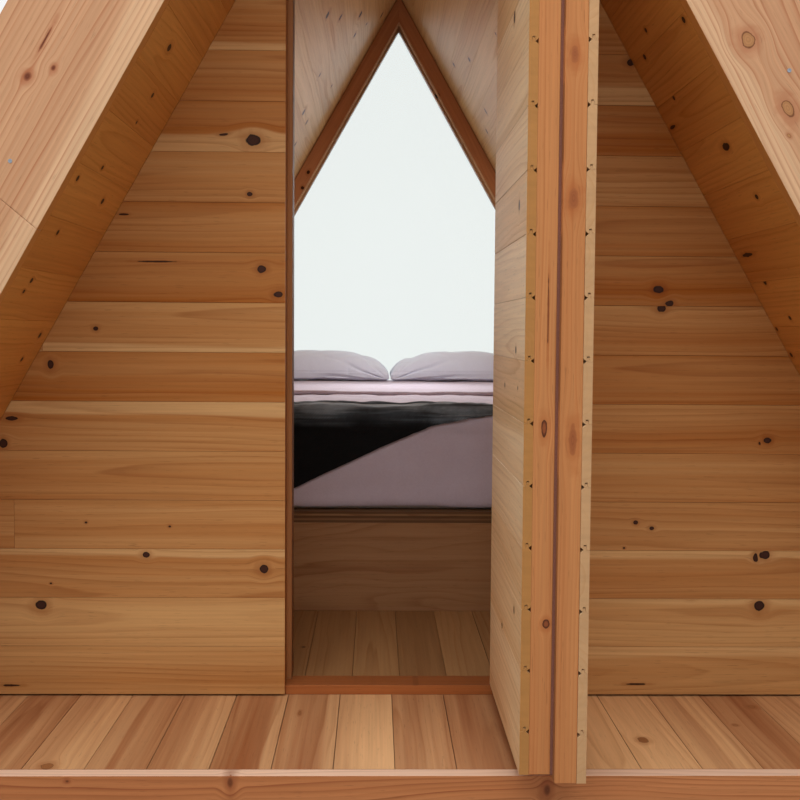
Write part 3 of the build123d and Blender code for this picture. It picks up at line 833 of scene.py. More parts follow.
def wall_tone_and_shade(key):
    """The lowest wall boards are pale, and the boarding warms upwards. The steady darkening with height is
    partly the boards' own tone and partly painted shade under the porch roof.
    """
    pale = {0: -0.5, 1: -0.9, 2: 0.15, 3: 0.05}
    wave = 0.30 * math.sin(key * 2.4)
    # The rise of 0.035 a board is partly painted shade under the roof; the wave is the boards' own tone
    return pale.get(key, min(0.9, 0.05 + 0.035 * key + wave))


class CABIN_OT_wall_boards(bpy.types.Operator):
    """Adds the tongue-and-groove boarding of the front wall, outside and in"""

    bl_idname = "cabin.wall_boards"
    bl_label = "Wall boards"

    def execute(self, context):
        board = sizes()
        tint = colours()
        wall = tint.wall_pale, tint.wall_warm
        lining_tones = tint.lining_pale, tint.lining_warm
        front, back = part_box("front_cladding_left")[0].y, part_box("front_cladding_left")[1].y
        lining_front, lining_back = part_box("front_lining")[0].y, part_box("front_lining")[1].y
        post_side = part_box("door_post_right")[1].x
        grid = DECK + board.first_joint
        for side, word in SIDES:
            reach = sorted((side * DOOR_HALF, side * half_width(grid)))
            top = APEX - DOOR_HALF * SLOPE
            butts = WALL_BUTTS if side < 0 else {}
            piece = wall_run(f"wall_boards_{word}", *reach, front, back - front, grid, top, butts=butts)
            cut_slopes(piece, (side,))
            tag_boards(piece, GRAIN_WALL, grid, board.pitch, wall_tone_and_shade, WALL_KNOTS[side],
                       split=lambda along, row, seams=butts: along > seams.get(row, 10))
            finish_timber(piece, f"Wall boards {word}", GRAIN_WALL, *wall, "wall_boards",
                          f"front_cladding_{word}", sap_share=0.35, rings=0.75)
        piece = wall_run("wall_boards_top", -DOOR_HALF, DOOR_HALF, front, back - front, DOOR_HEAD, APEX)
        cut_slopes(piece)
        tag_boards(piece, GRAIN_WALL, grid, board.pitch, wall_tone_and_shade, strewn=(0.8, 0.004, 0.014))
        finish_timber(piece, "Wall boards top", GRAIN_WALL, *wall, "wall_boards", "front_cladding_top",
                      sap_share=0.5)
        lining = []
        for side, _ in SIDES:
            reach = sorted((side * post_side, side * half_width(FLOOR)))
            run = wall_run("lining_run", *reach, lining_front, lining_back - lining_front, FLOOR,
                           APEX - post_side * SLOPE, flip=True)
            cut_slopes(run, (side,))
            lining.append(run)
        side_top = half_width(HEAD_TOP)
        run = wall_run("lining_run", -side_top, side_top, lining_front, lining_back - lining_front,
                       HEAD_TOP, APEX, flip=True)
        cut_slopes(run)
        piece = join("wall_lining_boards", [*lining, run])
        tag_boards(piece, GRAIN_WALL, grid, board.pitch, strewn=(1.0, 0.004, 0.014))
        finish_timber(piece, "Wall lining", GRAIN_WALL, *lining_tones, "lining_boards", "front_lining",
                      sap_share=0.4)
        return {"FINISHED"}


def slope_run(name, side, thickness, first, foot):
    """Boards along the cabin on one slope of the roof's inside."""
    board = sizes()
    length = (APEX - foot) / math.sin(ROOF_ANGLE)
    count = math.ceil((length - first) / board.pitch)
    near = side * (first + board.joint / 2)
    far = side * (first + board.pitch - board.joint / 2)
    piece = block(name, (min(near, far), ROOF_FRONT, 0), (max(near, far), ROOF_REAR, thickness))
    modify(piece, "BEVEL", width=board.arris / 2, segments=1, limit_method="ANGLE")
    repeat(piece, count, (side * board.pitch, 0, 0))
    place(piece, slope_matrix(side))
    cut(piece, (side * RIDGE_GAP, 0, 0), (-side, 0, 0))
    cut(piece, (0, 0, foot), (0, 0, -1))
    score(piece, (0, WALL_BACK / 2, 0), (0, 1, 0))
    return piece


# Knots on the slopes' lining, over the porch and in the room
SLOPE_KNOTS = {
    -1: [(-0.789, -0.178, 1.705, 0.009), (-0.843, -0.394, 1.610, 0.006), (-0.906, -0.388, 1.500, 0.007),
         (-0.920, -0.401, 1.474, 0.006), (-1.013, -0.112, 1.310, 0.008), (-0.650, -0.255, 1.951, 0.007),
         (-0.687, -0.262, 1.885, 0.005), (-0.778, -0.466, 1.725, 0.007), (-0.978, -0.071, 1.371, 0.008),
         (-0.298, 1.368, 2.574, 0.016), (-0.258, 1.663, 2.645, 0.014), (-0.184, 2.107, 2.776, 0.018),
         (-0.089, 2.750, 2.942, 0.014), (-0.430, 2.068, 2.341, 0.016), (-0.430, 2.306, 2.340, 0.012),
         (-0.213, 2.269, 2.725, 0.012)],
    1: [(0.571, -0.108, 2.091, 0.007), (0.664, -0.040, 1.927, 0.005, 6.0), (0.718, -0.331, 1.831, 0.011, 2.2),
        (0.786, -0.360, 1.711, 0.008), (0.853, -0.093, 1.593, 0.006, 7.0), (0.893, -0.112, 1.522, 0.009),
        (0.945, -0.155, 1.430, 0.007), (0.961, -0.014, 1.402, 0.006), (1.000, -0.020, 1.333, 0.007),
        (0.635, -0.160, 1.978, 0.006), (0.573, -0.479, 2.087, 0.008)],
}


class CABIN_OT_lining_boards(bpy.types.Operator):
    """Adds the boards that line both slopes, from the porch's soffit to the rear"""

    bl_idname = "cabin.lining_boards"
    bl_label = "Lining boards"

    def execute(self, context):
        board = sizes()
        tint = colours()
        thickness = 0.020
        past_ridge = 0.001
        for side, word in SIDES:
            grain = GRAIN_LINING[side]
            first = -thickness * SLOPE - past_ridge
            piece = slope_run(f"slope_lining_{word}", side, thickness, first, ROOF_FOOT)
            tag_boards(piece, grain, slope_line(side, first), board.pitch,
                       lambda row: 0.4 * math.sin(row * 2.1), SLOPE_KNOTS[side],
                       strewn=(1.4, 0.006, 0.018), split=lambda along, row: along > WALL_BACK / 2)
            # porch gives the soffit its painted shade and bounce light
            finish_timber(piece, f"Slope lining {word}", grain, tint.lining_pale, tint.lining_warm,
                          "lining_boards", f"roof_lining_{word}", porch=tint.soffit_shade, edge=0.0,
                          spread=0.7)
        return {"FINISHED"}


# How red each porch board is, by its place in the run. Boards 3 and 4 are extra pale: painted light that
# makes up for the shade of the open leaf on that part of the deck.
DECK_TONES_AND_LIGHT = {-8: 0.1, -7: 0.4, -6: -0.3, -5: 0.5, -4: 0.2, -3: 0.55, -2: 0.25, -1: -0.9, 0: 0.3, 1: 0.75,
              2: -0.2, 3: -1.2, 4: -0.8, 5: -0.2, 6: 0.6, 7: 0.3, 8: -0.2, 9: 0.5}
DECK_KNOTS = [(0.547, -0.341, 0.400, 0.012, 1.5), (0.806, -0.232, 0.400, 0.006),
              (0.895, -0.089, 0.400, 0.008), (-0.847, -0.513, 0.400, 0.014, 1.4),
              (-0.300, -0.140, 0.400, 0.004, 4.0)]


class CABIN_OT_deck_and_floor(bpy.types.Operator):
    """Adds the porch boards and the floorboards, both laid front to back"""

    bl_idname = "cabin.deck_and_floor"
    bl_label = "Deck and floor"

    def execute(self, context):
        board = sizes()
        tint = colours()
        low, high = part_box("porch_deck")
        deck = self.run("deck_boards", low, high, board.deck_line, board.deck_pitch, board.deck_joint)
        cut_slopes(deck)
        tag_boards(deck, GRAIN_DECK, board.deck_line, board.deck_pitch, lambda key: DECK_TONES_AND_LIGHT.get(key, 0.2),
                   DECK_KNOTS)
        finish_timber(deck, "Deck boards", GRAIN_DECK, tint.deck_pale, tint.deck_warm, "deck_boards",
                      "porch_deck", spacing=0.014, rings=0.6, spread=1.1, sap_share=0.3,
                      sap=shade(214, 168, 120), edge=0.4, knot=shade(150, 98, 58), rim=shade(92, 52, 28),
                      bark=0.75)
        low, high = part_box("cabin_floor")
        grid = board.floor_line, board.pitch
        hairline = 0.0008
        room = self.run("floor_run", (low.x, WALL_BACK, low.z), high, *grid, hairline)
        cut_slopes(room)
        side_gap = 0.014
        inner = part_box("door_head")[1].x - side_gap
        tongue = self.run("floor_run", (-inner, low.y, low.z), (inner, WALL_BACK, high.z), *grid, hairline)
        cut(tongue, (inner, 0, 0), (1, 0, 0))
        cut(tongue, (-inner, 0, 0), (-1, 0, 0))
        floor = join("floor_boards", [room, tongue])
        tag_boards(floor, GRAIN_DECK, *grid, strewn=(0.5, 0.005, 0.014))
        finish_timber(floor, "Floor boards", GRAIN_DECK, shade(166, 124, 80), shade(138, 98, 60),
                      "floor_boards", "cabin_floor", rings=0.6, spacing=0.015, spread=0.5)
        return {"FINISHED"}

    def run(self, name, low, high, line, pitch, joint):
        """Boards along Y from a joint line, as many as the width needs."""
        low, high = Vector(low), Vector(high)
        first = math.floor((low.x - line) / pitch)
        last = math.ceil((high.x - line) / pitch)
        left = line + first * pitch
        piece = block(name, (left + joint / 2, low.y, low.z), (left + pitch - joint / 2, high.y, high.z))
        eased = 0.0010
        with picking(piece, "EDGE", lambda edge: runs_along(piece, edge, 1, 0.01)):
            bpy.ops.mesh.bevel(offset=eased, segments=2)
        repeat(piece, last - first, (pitch, 0, 0))
        return piece


class CABIN_OT_roof_boards(bpy.types.Operator):
    """Adds the lapped boards on the outside of both slopes and dresses the ridge"""

    bl_idname = "cabin.roof_boards"
    bl_label = "Roof boards"

    def execute(self, context):
        board = sizes()
        core = 0.240
        seat, top_edge, butt_edge, under = 0.0005, 0.010, 0.030, 0.0125
        width = board.roof_lap + 0.020
        outline = [(0, 0, core + seat), (0, 0, core + top_edge), (width, 0, core + butt_edge),
                   (width, 0, core + under)]
        brown = shade(152, 108, 74), shade(108, 70, 44)
        for side, word in SIDES:
            grain = GRAIN_LINING[side]
            ridge = -(core + top_edge) * SLOPE
            points = [(side * x, y, z) for x, y, z in outline]
            piece = profile(f"roof_boards_{word}", points, (side * ridge, ROOF_FRONT, 0),
                            (0, ROOF_REAR - ROOF_FRONT, 0))
            length = (APEX - DRIP) / math.sin(ROOF_ANGLE) + abs(ridge)
            repeat(piece, math.ceil(length / board.roof_lap), (side * board.roof_lap, 0, 0))
            place(piece, slope_matrix(side))
            cut(piece, (side * RIDGE_GAP, 0, 0), (-side, 0, 0))
            cut(piece, (0, 0, DRIP), (0, 0, -1))
            tag_boards(piece, grain, slope_line(side, ridge), board.roof_lap, strewn=(0.5, 0.006, 0.016))
            finish_timber(piece, f"Roof boards {word}", grain, *brown, "roof_boards", f"roof_cladding_{word}",
                          rings=0.45, gloss=0.62)
        cap = dressed("ridge_cap", "ridge_boards")
        tag_timber(cap, GRAIN_DECK)
        finish_timber(cap, "Ridge boards", GRAIN_DECK, *brown, "roof_boards", "ridge_cap", rings=0.4)
        return {"FINISHED"}


# Knots and screws of the front barge boards, and knots of the porch's rim
BARGE_KNOTS = {
    -1: knots_at(
        BARGE_FACE, (-0.863, 1.931, 0.009, 1.3), (-0.807, 1.950, 0.006), (-0.824, 2.010, 0.003, 12.0),
        (-1.200, 1.270, 0.016, 1.4)),
    1: knots_at(
        BARGE_FACE, (0.697, 2.029, 0.016, 1.2), (0.788, 1.882, 0.013, 1.7), (0.796, 1.824, 0.004),
        (0.640, 2.110, 0.010, 1.6)),
}
BARGE_SCREWS = ((-0.902, 1.750), (0.789, 1.963))
RIM_KNOTS = knots_at(
    RIM_FACE, (-0.427, 0.385, 0.017, 0.55), (0.280, 0.367, 0.018, 0.55), (-0.787, 0.388, 0.004))
# How each side's barge boards differ from plain fir
BARGE_FIGURE = {
    -1: {"wander": 0.05, "pith": 0.5, "sap_reach": 0.72, "bark": 0.35,
         "knot": shade(112, 58, 36), "rim": shade(160, 98, 66)},
    1: {"wander": 0.14, "pith": 0.06, "sap_reach": 0.5, "bark": 0.65,
        "knot": shade(178, 126, 82), "rim": shade(104, 56, 32)},
}
# Height over the deck at which the left front barge board's two lengths meet
BARGE_JOINT = 1.2


class CABIN_OT_timbers(bpy.types.Operator):
    """Dresses the barge boards, rims, beams, posts, head and sill"""

    bl_idname = "cabin.timbers"
    bl_label = "Timbers"

    def execute(self, context):
        tint = colours()
        for side, word in SIDES:
            for end in ("front", "rear"):
                self.barge(side, end, f"{end}_{word}")
            for node, grain, slot in ((f"door_post_{word}", GRAIN_POST, "door_timber"),
                                      (f"front_core_{word}", GRAIN_WALL, "core_timber"),
                                      (f"roof_core_{word}", GRAIN_LINING[side], "core_timber")):
                self.plain(node, grain, slot, (shade(178, 122, 74), shade(142, 86, 48)), tone=0.2)
        rim = dressed("front_rim", "porch_rim_board", 0.002)
        # The rim's top face is tagged as an end, so it takes the pale end colour: painted highlight of the
        # top lit from above
        tag_timber(rim, GRAIN_WALL, 0.1, knots=RIM_KNOTS, ends=lambda normal: normal.z > 0.5)
        finish_timber(rim, "Rim board", GRAIN_WALL, shade(208, 142, 92), shade(168, 96, 50), "rim_board",
                      "front_rim", spacing=0.011, wander=0.12, rings=1.0, line=(0.42, 0.20, 0.12),
                      end=shade(236, 198, 170), knot=shade(112, 60, 32), rim=shade(150, 86, 48), bark=0.4)
        looks = {
            "ground_timber": (shade(170, 124, 82), shade(128, 86, 54)),
            "door_timber": (tint.stud_pale, tint.stud_warm),
            "sill_timber": (shade(190, 116, 64), shade(156, 88, 44)),
            "core_timber": (tint.fir_pale, tint.fir_warm),
            "window_timber": (tint.stain_pale, tint.stain_warm),
        }
        for node, slot in (("rear_rim", "ground_timber"), ("side_rims", "ground_timber"),
                           ("floor_joists", "ground_timber"), ("base_beams", "ground_timber"),
                           ("subfloor", "ground_timber"), ("door_head", "door_timber"),
                           ("door_sill", "sill_timber"), ("front_core_top", "core_timber"),
                           ("window_bottom_rail", "window_timber")):
            grain = GRAIN_DECK if node in ("side_rims", "base_beams") else GRAIN_WALL
            self.plain(node, grain, slot, looks[slot])
        for node, tones in (("bed_front_panel", (shade(172, 128, 88), shade(148, 104, 68))),
                            ("bed_top_board", (shade(166, 124, 82), shade(100, 68, 42)))):
            self.plain(node, GRAIN_WALL, "plywood", tones, spacing=0.022, wander=0.4, rings=0.8)
        self.screws()
        return {"FINISHED"}

    def barge(self, side, end, ending):
        """Dresses a barge board. The left one at the front is made of two lengths."""
        tint = colours()
        grain = GRAIN_RAFTER[side]
        piece = dressed(f"barge_{ending}", f"barge_board_{ending}")
        level = DECK + BARGE_JOINT
        seam = (grain_frame(grain) @ Vector((side * half_width(level), 0, level))).x
        parted = end == "front" and side < 0
        inward = Vector((-side * math.sin(ROOF_ANGLE), 0, -math.cos(ROOF_ANGLE)))
        tag_timber(piece, grain, 0.1, knots=BARGE_KNOTS[side] if end == "front" else (),
                   split=(lambda along, row: along < seam) if parted else None,
                   seeds=lambda key: 0.02 * key[1], ends=lambda normal: normal @ inward > 0.7)
        finish_timber(piece, f"Barge {ending.replace('_', ' ')}", grain, tint.fir_pale, tint.fir_warm,
                      "barge_boards", f"barge_{ending}", rings=1.0, line=(0.62, 0.30, 0.19), sap_share=1.0,
                      sap=shade(226, 188, 148), end=shade(196, 130, 66), spread=0.6, **BARGE_FIGURE[side])

    def plain(self, node, grain, slot, tones, tone=0.0, **figure):
        """Dresses a timber that has no knots of its own. The bed's board shows its plies."""
        piece = dressed(node, f"{node}_timber")
        if node == "bed_top_board":
            self.plies(piece)
        else:
            tag_timber(piece, grain, tone)
        finish_timber(piece, f"{node} timber", grain, *tones, slot, node, **figure)

    def plies(self, piece):
        """Divides the bed board's edge into the plies that it is glued from."""
        number = 5
        low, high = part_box("bed_top_board")
        pitch = (high.z - low.z) / number
        for row in range(1, number):
            score(piece, (0, 0, low.z + row * pitch), (0, 0, 1))
        tag_boards(piece, GRAIN_WALL, low.z, pitch, lambda row: 0.2 if row % 2 else 2.2)

    def screws(self):
        """Adds the heads of the barge boards' screws, set flush with a driving recess."""
        heads = []
        radius, sunk, recess = 0.0045, 0.0004, 0.0022
        for x, z in BARGE_SCREWS:
            deselect()
            bpy.ops.mesh.primitive_cylinder_add(vertices=24, radius=radius, depth=0.002)
            head = bpy.context.object
            with picking(head, "FACE", lambda face: face.normal.z > 0.9):
                bpy.ops.mesh.inset(thickness=radius - recess)
                bpy.ops.mesh.extrude_region_move(TRANSFORM_OT_translate={"value": (0, 0, -0.0012)})
            place(head, Matrix.Translation((x, BARGE_FACE - sunk, z)) @ Matrix.Rotation(math.pi / 2, 4, "X"))
            heads.append(head)
        steel = metal("Screw steel", shade(120, 126, 134), shade(160, 164, 170), 0.45)
        finish_piece(join("barge_screws", heads), steel, "cabin", "hinge_steel")


# Knots on the open leaf: on the visible edges of its two halves and on its inner face
STUD_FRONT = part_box("door_outer_core")[0].y
INNER_STUD_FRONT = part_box("door_inner_core")[0].y
OUTER_STUD_KNOTS = knots_at(
    STUD_FRONT, (0.295, 1.959, 0.010, 1.9), (0.297, 1.666, 0.011, 2.2), (0.303, 1.164, 0.009, 4.0))
INNER_STUD_KNOTS = knots_at(
    INNER_STUD_FRONT, (0.251, 1.436, 0.0016, 45.0), (0.246, 1.187, 0.007, 3.0),
    (0.256, 0.770, 0.008, 1.3))
LEAF_KNOTS = [(0.203, -0.546, 1.666, 0.012, 0.9), (0.203, -0.410, 2.107, 0.014, 1.0),
              (0.203, -0.517, 1.349, 0.008), (0.203, -0.305, 1.261, 0.006), (0.203, -0.563, 1.266, 0.005),
              (0.203, -0.309, 0.674, 0.007), (0.203, -0.546, 0.769, 0.009, 1.0)]


class CABIN_OT_door_leaf(bpy.types.Operator):
    """Adds the door's boarded skins, studs, felt and hinges"""

    bl_idname = "cabin.door_leaf"
    bl_label = "Door leaf"

    def execute(self, context):
        board = sizes()
        tint = colours()
        grid = DECK + board.first_joint
        shut = open_door_matrix().inverted()
        skins = (("door_outer_boards", "door_outer_skin", False, shade(196, 152, 108)),
                 ("door_inner_boards", "door_inner_skin", True, shade(176, 122, 66)))
        for node, name, flip, end in skins:
            corners = [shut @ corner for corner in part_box(node)]
            low = Vector(map(min, *corners))
            high = Vector(map(max, *corners))
            piece = wall_run(name, low.x, high.x, low.y, high.y - low.y, low.z, high.z, flip)
            if not flip:
                carve(piece, self.slot_shape(low, high))
            place(piece, open_door_matrix())
            tag_boards(piece, GRAIN_LEAF, grid, board.pitch, knots=LEAF_KNOTS if flip else (),
                       strewn=None if flip else (0.5, 0.004, 0.012))
            finish_timber(piece, f"{name} boards", GRAIN_LEAF, shade(248, 218, 175), shade(228, 185, 134),
                          "door_boards", node, body="door", end=end, sap_share=0.3, spread=1.3)
        studs = (("outer", OUTER_STUD_KNOTS, shade(152, 86, 48), shade(164, 96, 54)),
                 ("inner", INNER_STUD_KNOTS, shade(140, 76, 42), shade(70, 34, 18)))
        for word, knots, heart, rim in studs:
            piece = dressed(f"door_{word}_core", f"door_{word}_frame")
            tag_timber(piece, GRAIN_POST, 0.1, knots=knots)
            finish_timber(piece, f"door_{word}_frame fir", GRAIN_POST, tint.stud_pale, tint.stud_warm,
                          "door_timber", f"door_{word}_core", body="door", rings=0.7, spacing=0.0085,
                          line=(0.70, 0.42, 0.28), pith=0.25, wander=0.03, knot=heart, rim=rim, bark=0.3,
                          spread=1.0)
        felt, tree, shader = new_material("Felt")
        mottled = cloud(tree, object_point(tree), 300.0)
        wire(tree, shader, {"Base Color": blend_colour(tree, mottled, shade(112, 68, 54), shade(142, 92, 74)),
                            "Roughness": 0.95})
        dress_nodes(felt, "door_membrane")
        steel = metal("Hinge steel", shade(150, 148, 144), shade(186, 184, 180), 0.38)
        dress_nodes(steel, "frame_hinge_plates", "door_hinge_plates")
        return {"FINISHED"}

    def slot_shape(self, low, high):
        """Upright slot with round ends, where the CAD skin has it."""
        board = sizes()
        node = frame["nodes"]["door_outer_boards"]
        shut = open_door_matrix().inverted()
        inside = [shut @ vertex.co for vertex in node.data.vertices]
        edge = 0.002
        ring = [point for point in inside if low.x + edge < point.x < high.x - edge
                and low.z + edge < point.z < high.z - edge]
        centre = (Vector(map(min, *ring)) + Vector(map(max, *ring))) / 2
        arc = 12
        radius = board.slot_width / 2
        straight = board.slot_length / 2 - radius
        outline = []
        for index in range(2 * arc):
            above = index < arc
            angle = math.pi * (index if above else index - 1) / (arc - 1)
            rise = straight if above else -straight
            outline.append((radius * math.cos(angle), 0, rise + radius * math.sin(angle)))
        beyond = 0.01
        start = (centre.x, low.y - beyond, centre.z)
        return profile("slot_shape", outline, start, (0, high.y - low.y + 2 * beyond, 0))


def dress_nodes(material, *nodes):
    """Gives CAD nodes that stay a material of their own."""
    for node in nodes:
        frame["nodes"][node].data.materials.clear()
        frame["nodes"][node].data.materials.append(material)


class CABIN_OT_glazing(bpy.types.Operator):
    """Dresses the glazed triangle's stiles and beads and clears its glass"""

    bl_idname = "cabin.glazing"
    bl_label = "Glazing"

    def execute(self, context):
        tint = colours()
        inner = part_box("window_stile_left")[0].y
        knots = {1: [(0.20, inner, 2.60, 0.010)],
                 -1: [(-0.46, inner, 2.20, 0.009), (-0.49, inner, 2.12, 0.007)]}
        eased = 0.001
        for side, word in SIDES:
            piece = dressed(f"window_stile_{word}", f"window_side_{word}", eased)
            tag_timber(piece, GRAIN_RAFTER[side], knots=knots[side])
            finish_timber(piece, f"Window {word}", GRAIN_RAFTER[side], tint.stain_pale, tint.stain_warm,
                          "window_timber", f"window_stile_{word}", rings=0.3)
        beads = dressed("glazing_beads", "glass_beads", eased)
        tag_timber(beads, GRAIN_WALL)
        finish_timber(beads, "Beads", GRAIN_WALL, shade(224, 186, 142), shade(196, 150, 106), "bead_timber",
                      "glazing_beads")
        material, tree, shader = new_material("Clear glass")
        wire(tree, shader, {"Base Color": (0.95, 0.98, 0.97), "Roughness": 0.02})
        clear = add_node(tree, "ShaderNodeBsdfTransparent", {"Color": (0.96, 0.985, 0.975)})
        facing = add_node(tree, "ShaderNodeFresnel", {"IOR": 1.35})
        mixed = add_node(tree, "ShaderNodeMixShader", {0: facing.outputs[0], 1: clear.outputs[0],
                                                       2: shader.outputs[0]})
        output = next(node for node in tree.nodes if node.type == "OUTPUT_MATERIAL")
        wire(tree, output, {"Surface": mixed.outputs[0]})
        dress_nodes(material, "window_glass")
        return {"FINISHED"}


def smooth_step(value, low, high):
    share = min(1.0, max(0.0, (value - low) / (high - low)))
    return share * share * (3 - 2 * share)


def inflate(piece, pressure, cap, frames=20):
    """Swells a closed cloth by pressure, with no point moving further than the cap."""
    rest = [vertex.co.copy() for vertex in piece.data.vertices]
    activate(piece)
    modifier = piece.modifiers.new("cloth", "CLOTH")
    settings = modifier.settings
    settings.use_pressure = True
    settings.uniform_pressure_force = pressure
    settings.mass = 0.3
    settings.tension_stiffness = 20
    settings.compression_stiffness = 20
    settings.bending_stiffness = 0.6
    settings.effector_weights.gravity = 0.0
    scene = bpy.context.scene
    for number in range(1, frames + 1):
        scene.frame_set(number)
    bpy.ops.object.modifier_apply(modifier=modifier.name)
    scene.frame_set(1)
    for vertex, start in zip(piece.data.vertices, rest):
        moved = vertex.co - start
        if moved.length > cap:
            vertex.co = start + moved * (cap / moved.length)


def fit_box(piece, low, high):
    """Scales and moves a piece's mesh so that it fills a box."""
    points = [vertex.co for vertex in piece.data.vertices]
    old_low = Vector(map(min, *points))
    old_high = Vector(map(max, *points))
    for vertex in piece.data.vertices:
        share = [(vertex.co[axis] - old_low[axis]) / (old_high[axis] - old_low[axis]) for axis in range(3)]
        vertex.co = [low[axis] + share[axis] * (high[axis] - low[axis]) for axis in range(3)]


def smooth(piece):
    activate(piece)
    bpy.ops.object.shade_smooth()


def creases(point, scale, slant):
    """Ridged noise that runs slantwise, as cloth creases do."""
    turned = Vector((point.x + slant * point.y, point.y * 0.35 - slant * point.x * 0.35, point.z * 0.6))
    value = noise.noise(turned * scale)
    return (1 - abs(value) * 2.4) ** 2 if abs(value) < 0.4 else 0.0


class CABIN_OT_pillows(bpy.types.Operator):
    """Adds the two crowned pillows at the glazed end"""

    bl_idname = "cabin.pillows"
    bl_label = "Pillows"

    def execute(self, context):
        cloth = bedding()
        low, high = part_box("pillows")
        gap = 0.006
        split = low.x + (high.x - low.x - gap) / 2
        material = woven("Pillow linen", cloth.pillow_colour, shade(208, 208, 222), 1500.0)
        pair = []
        for number, (left, right) in enumerate(((low.x, split), (split + gap, high.x))):
            pair.append(self.pillow(Vector((left, low.y, low.z)), Vector((right, high.y, high.z)), number))
        piece = join("pillow_pair", pair)
        smooth(piece)
        finish_piece(piece, material, "cabin", "pillow_cloth", "pillows")
        return {"FINISHED"}

    def pillow(self, low, high, number):
        """One pillow: a pinched slab swelled by pressure, creased, seamed and flat where it rests."""
        middle = (low + high) / 2
        half = (high - low) / 2
        inset = Vector((0.006, 0.006, half.z * 0.15))
        piece = block(f"pillow_{number}", low + inset, high - inset)
        modify(piece, "BEVEL", width=0.02, segments=3)
        modify(piece, "REMESH", mode="VOXEL", voxel_size=0.009)
        for vertex in piece.data.vertices:
            across = min(1.0, abs(vertex.co.x - middle.x) / half.x)
            down = min(1.0, abs(vertex.co.y - middle.y) / half.y)
            crown = (1 - across ** 2.6) ** 0.6 * (1 - down ** 2.6) ** 0.5
            vertex.co.z = low.z + (vertex.co.z - low.z) * (0.16 + 0.84 * crown)
            vertex.co.x = middle.x + (vertex.co.x - middle.x) * (1 - 0.03 * (1 - down * down))
            vertex.co.y = middle.y + (vertex.co.y - middle.y) * (1 - 0.05 * (1 - across * across))
        inflate(piece, 3.0, 0.012)
        modify(piece, "SUBSURF", levels=1, render_levels=1)
        sunk = 0.010
        fit_box(piece, low - Vector((0, 0, sunk)), high)
        self.crease(piece, low, high, number)
        return piece

    def crease(self, piece, low, high, number):
        """Presses in the creases that fan out from the inner end, small slanting ones and the seam."""
        piece.data.update()
        inner = high.x if number == 0 else low.x
        seam_level = low.z + 0.3 * (high.z - low.z)
        normals = [vertex.normal.copy() for vertex in piece.data.vertices]
        for vertex, normal in zip(piece.data.vertices, normals):
            at = vertex.co
            away = abs(at.x - inner)
            rise = at.z - low.z
            angle = math.atan2(rise, away * 0.55)
            fan = max(0.0, math.sin(angle * 13 + 2.2 * noise.noise(at * 6 + Vector((number, 0, 0))))) ** 3
            reach = smooth_step(away, 0.015, 0.06) * (1 - smooth_step(away, 0.22, 0.42))
            small = creases(at + Vector((number * 7.3, 1.7, 0)), 10.0, 0.8 if number else -0.8)
            seam = 1 - smooth_step(abs(at.z - seam_level), 0.001, 0.005)
            at -= normal * (0.0075 * fan * reach + 0.0035 * small + 0.0014 * seam)
            at.z = max(at.z, low.z)
            vertex.co = at


class CABIN_OT_mattress(bpy.types.Operator):
    """Adds the mattress, with rounded edges and piping"""

    bl_idname = "cabin.mattress"
    bl_label = "Mattress"

    def execute(self, context):
        piping = 0.005
        low = MATTRESS_LOW + Vector((piping, piping, 0))
        high = MATTRESS_HIGH - Vector((piping, piping, 0))
        body = block("mattress_body", low, high)
        modify(body, "BEVEL", width=0.028, segments=5, limit_method="ANGLE")
        smooth(body)
        inset = 0.030
        ropes = [self.rope(low, high, level, piping) for level in (low.z + inset, high.z - inset)]
        piece = join("mattress_block", [body, *ropes])
        material = woven("Mattress ticking", shade(214, 206, 200), shade(190, 182, 178), 1200.0)
        finish_piece(piece, material, "cabin", "mattress_cloth", "mattress")
        return {"FINISHED"}

    def rope(self, low, high, level, radius):
        """Piping round the mattress at one level."""
        deselect()
        bpy.ops.curve.primitive_bezier_circle_add()
        curve = bpy.context.object
        corner = 0.030
        spline = curve.data.splines[0]
        spline.bezier_points.add(4)
        corners = [(low.x, low.y), (high.x, low.y), (high.x, high.y), (low.x, high.y)]
        steps = [(1, 0), (0, 1), (-1, 0), (0, -1)]
        for index, point in enumerate(spline.bezier_points):
            at = index // 2
            arriving = index % 2 == 0
            step = steps[at - 1] if arriving else steps[at]
            sign = -1 if arriving else 1
            x = corners[at][0] + sign * step[0] * corner
            y = corners[at][1] + sign * step[1] * corner
            reach = corner * 0.45
            point.handle_left_type = point.handle_right_type = "FREE"
            point.co = (x, y, level)
            point.handle_left = (x - step[0] * reach, y - step[1] * reach, level)
            point.handle_right = (x + step[0] * reach, y + step[1] * reach, level)
        curve.data.bevel_depth = radius * 0.9
        curve.data.bevel_resolution = 2
        activate(curve)
        bpy.ops.object.convert(target="MESH")
        rope = bpy.context.object
        settle(rope)
        return rope


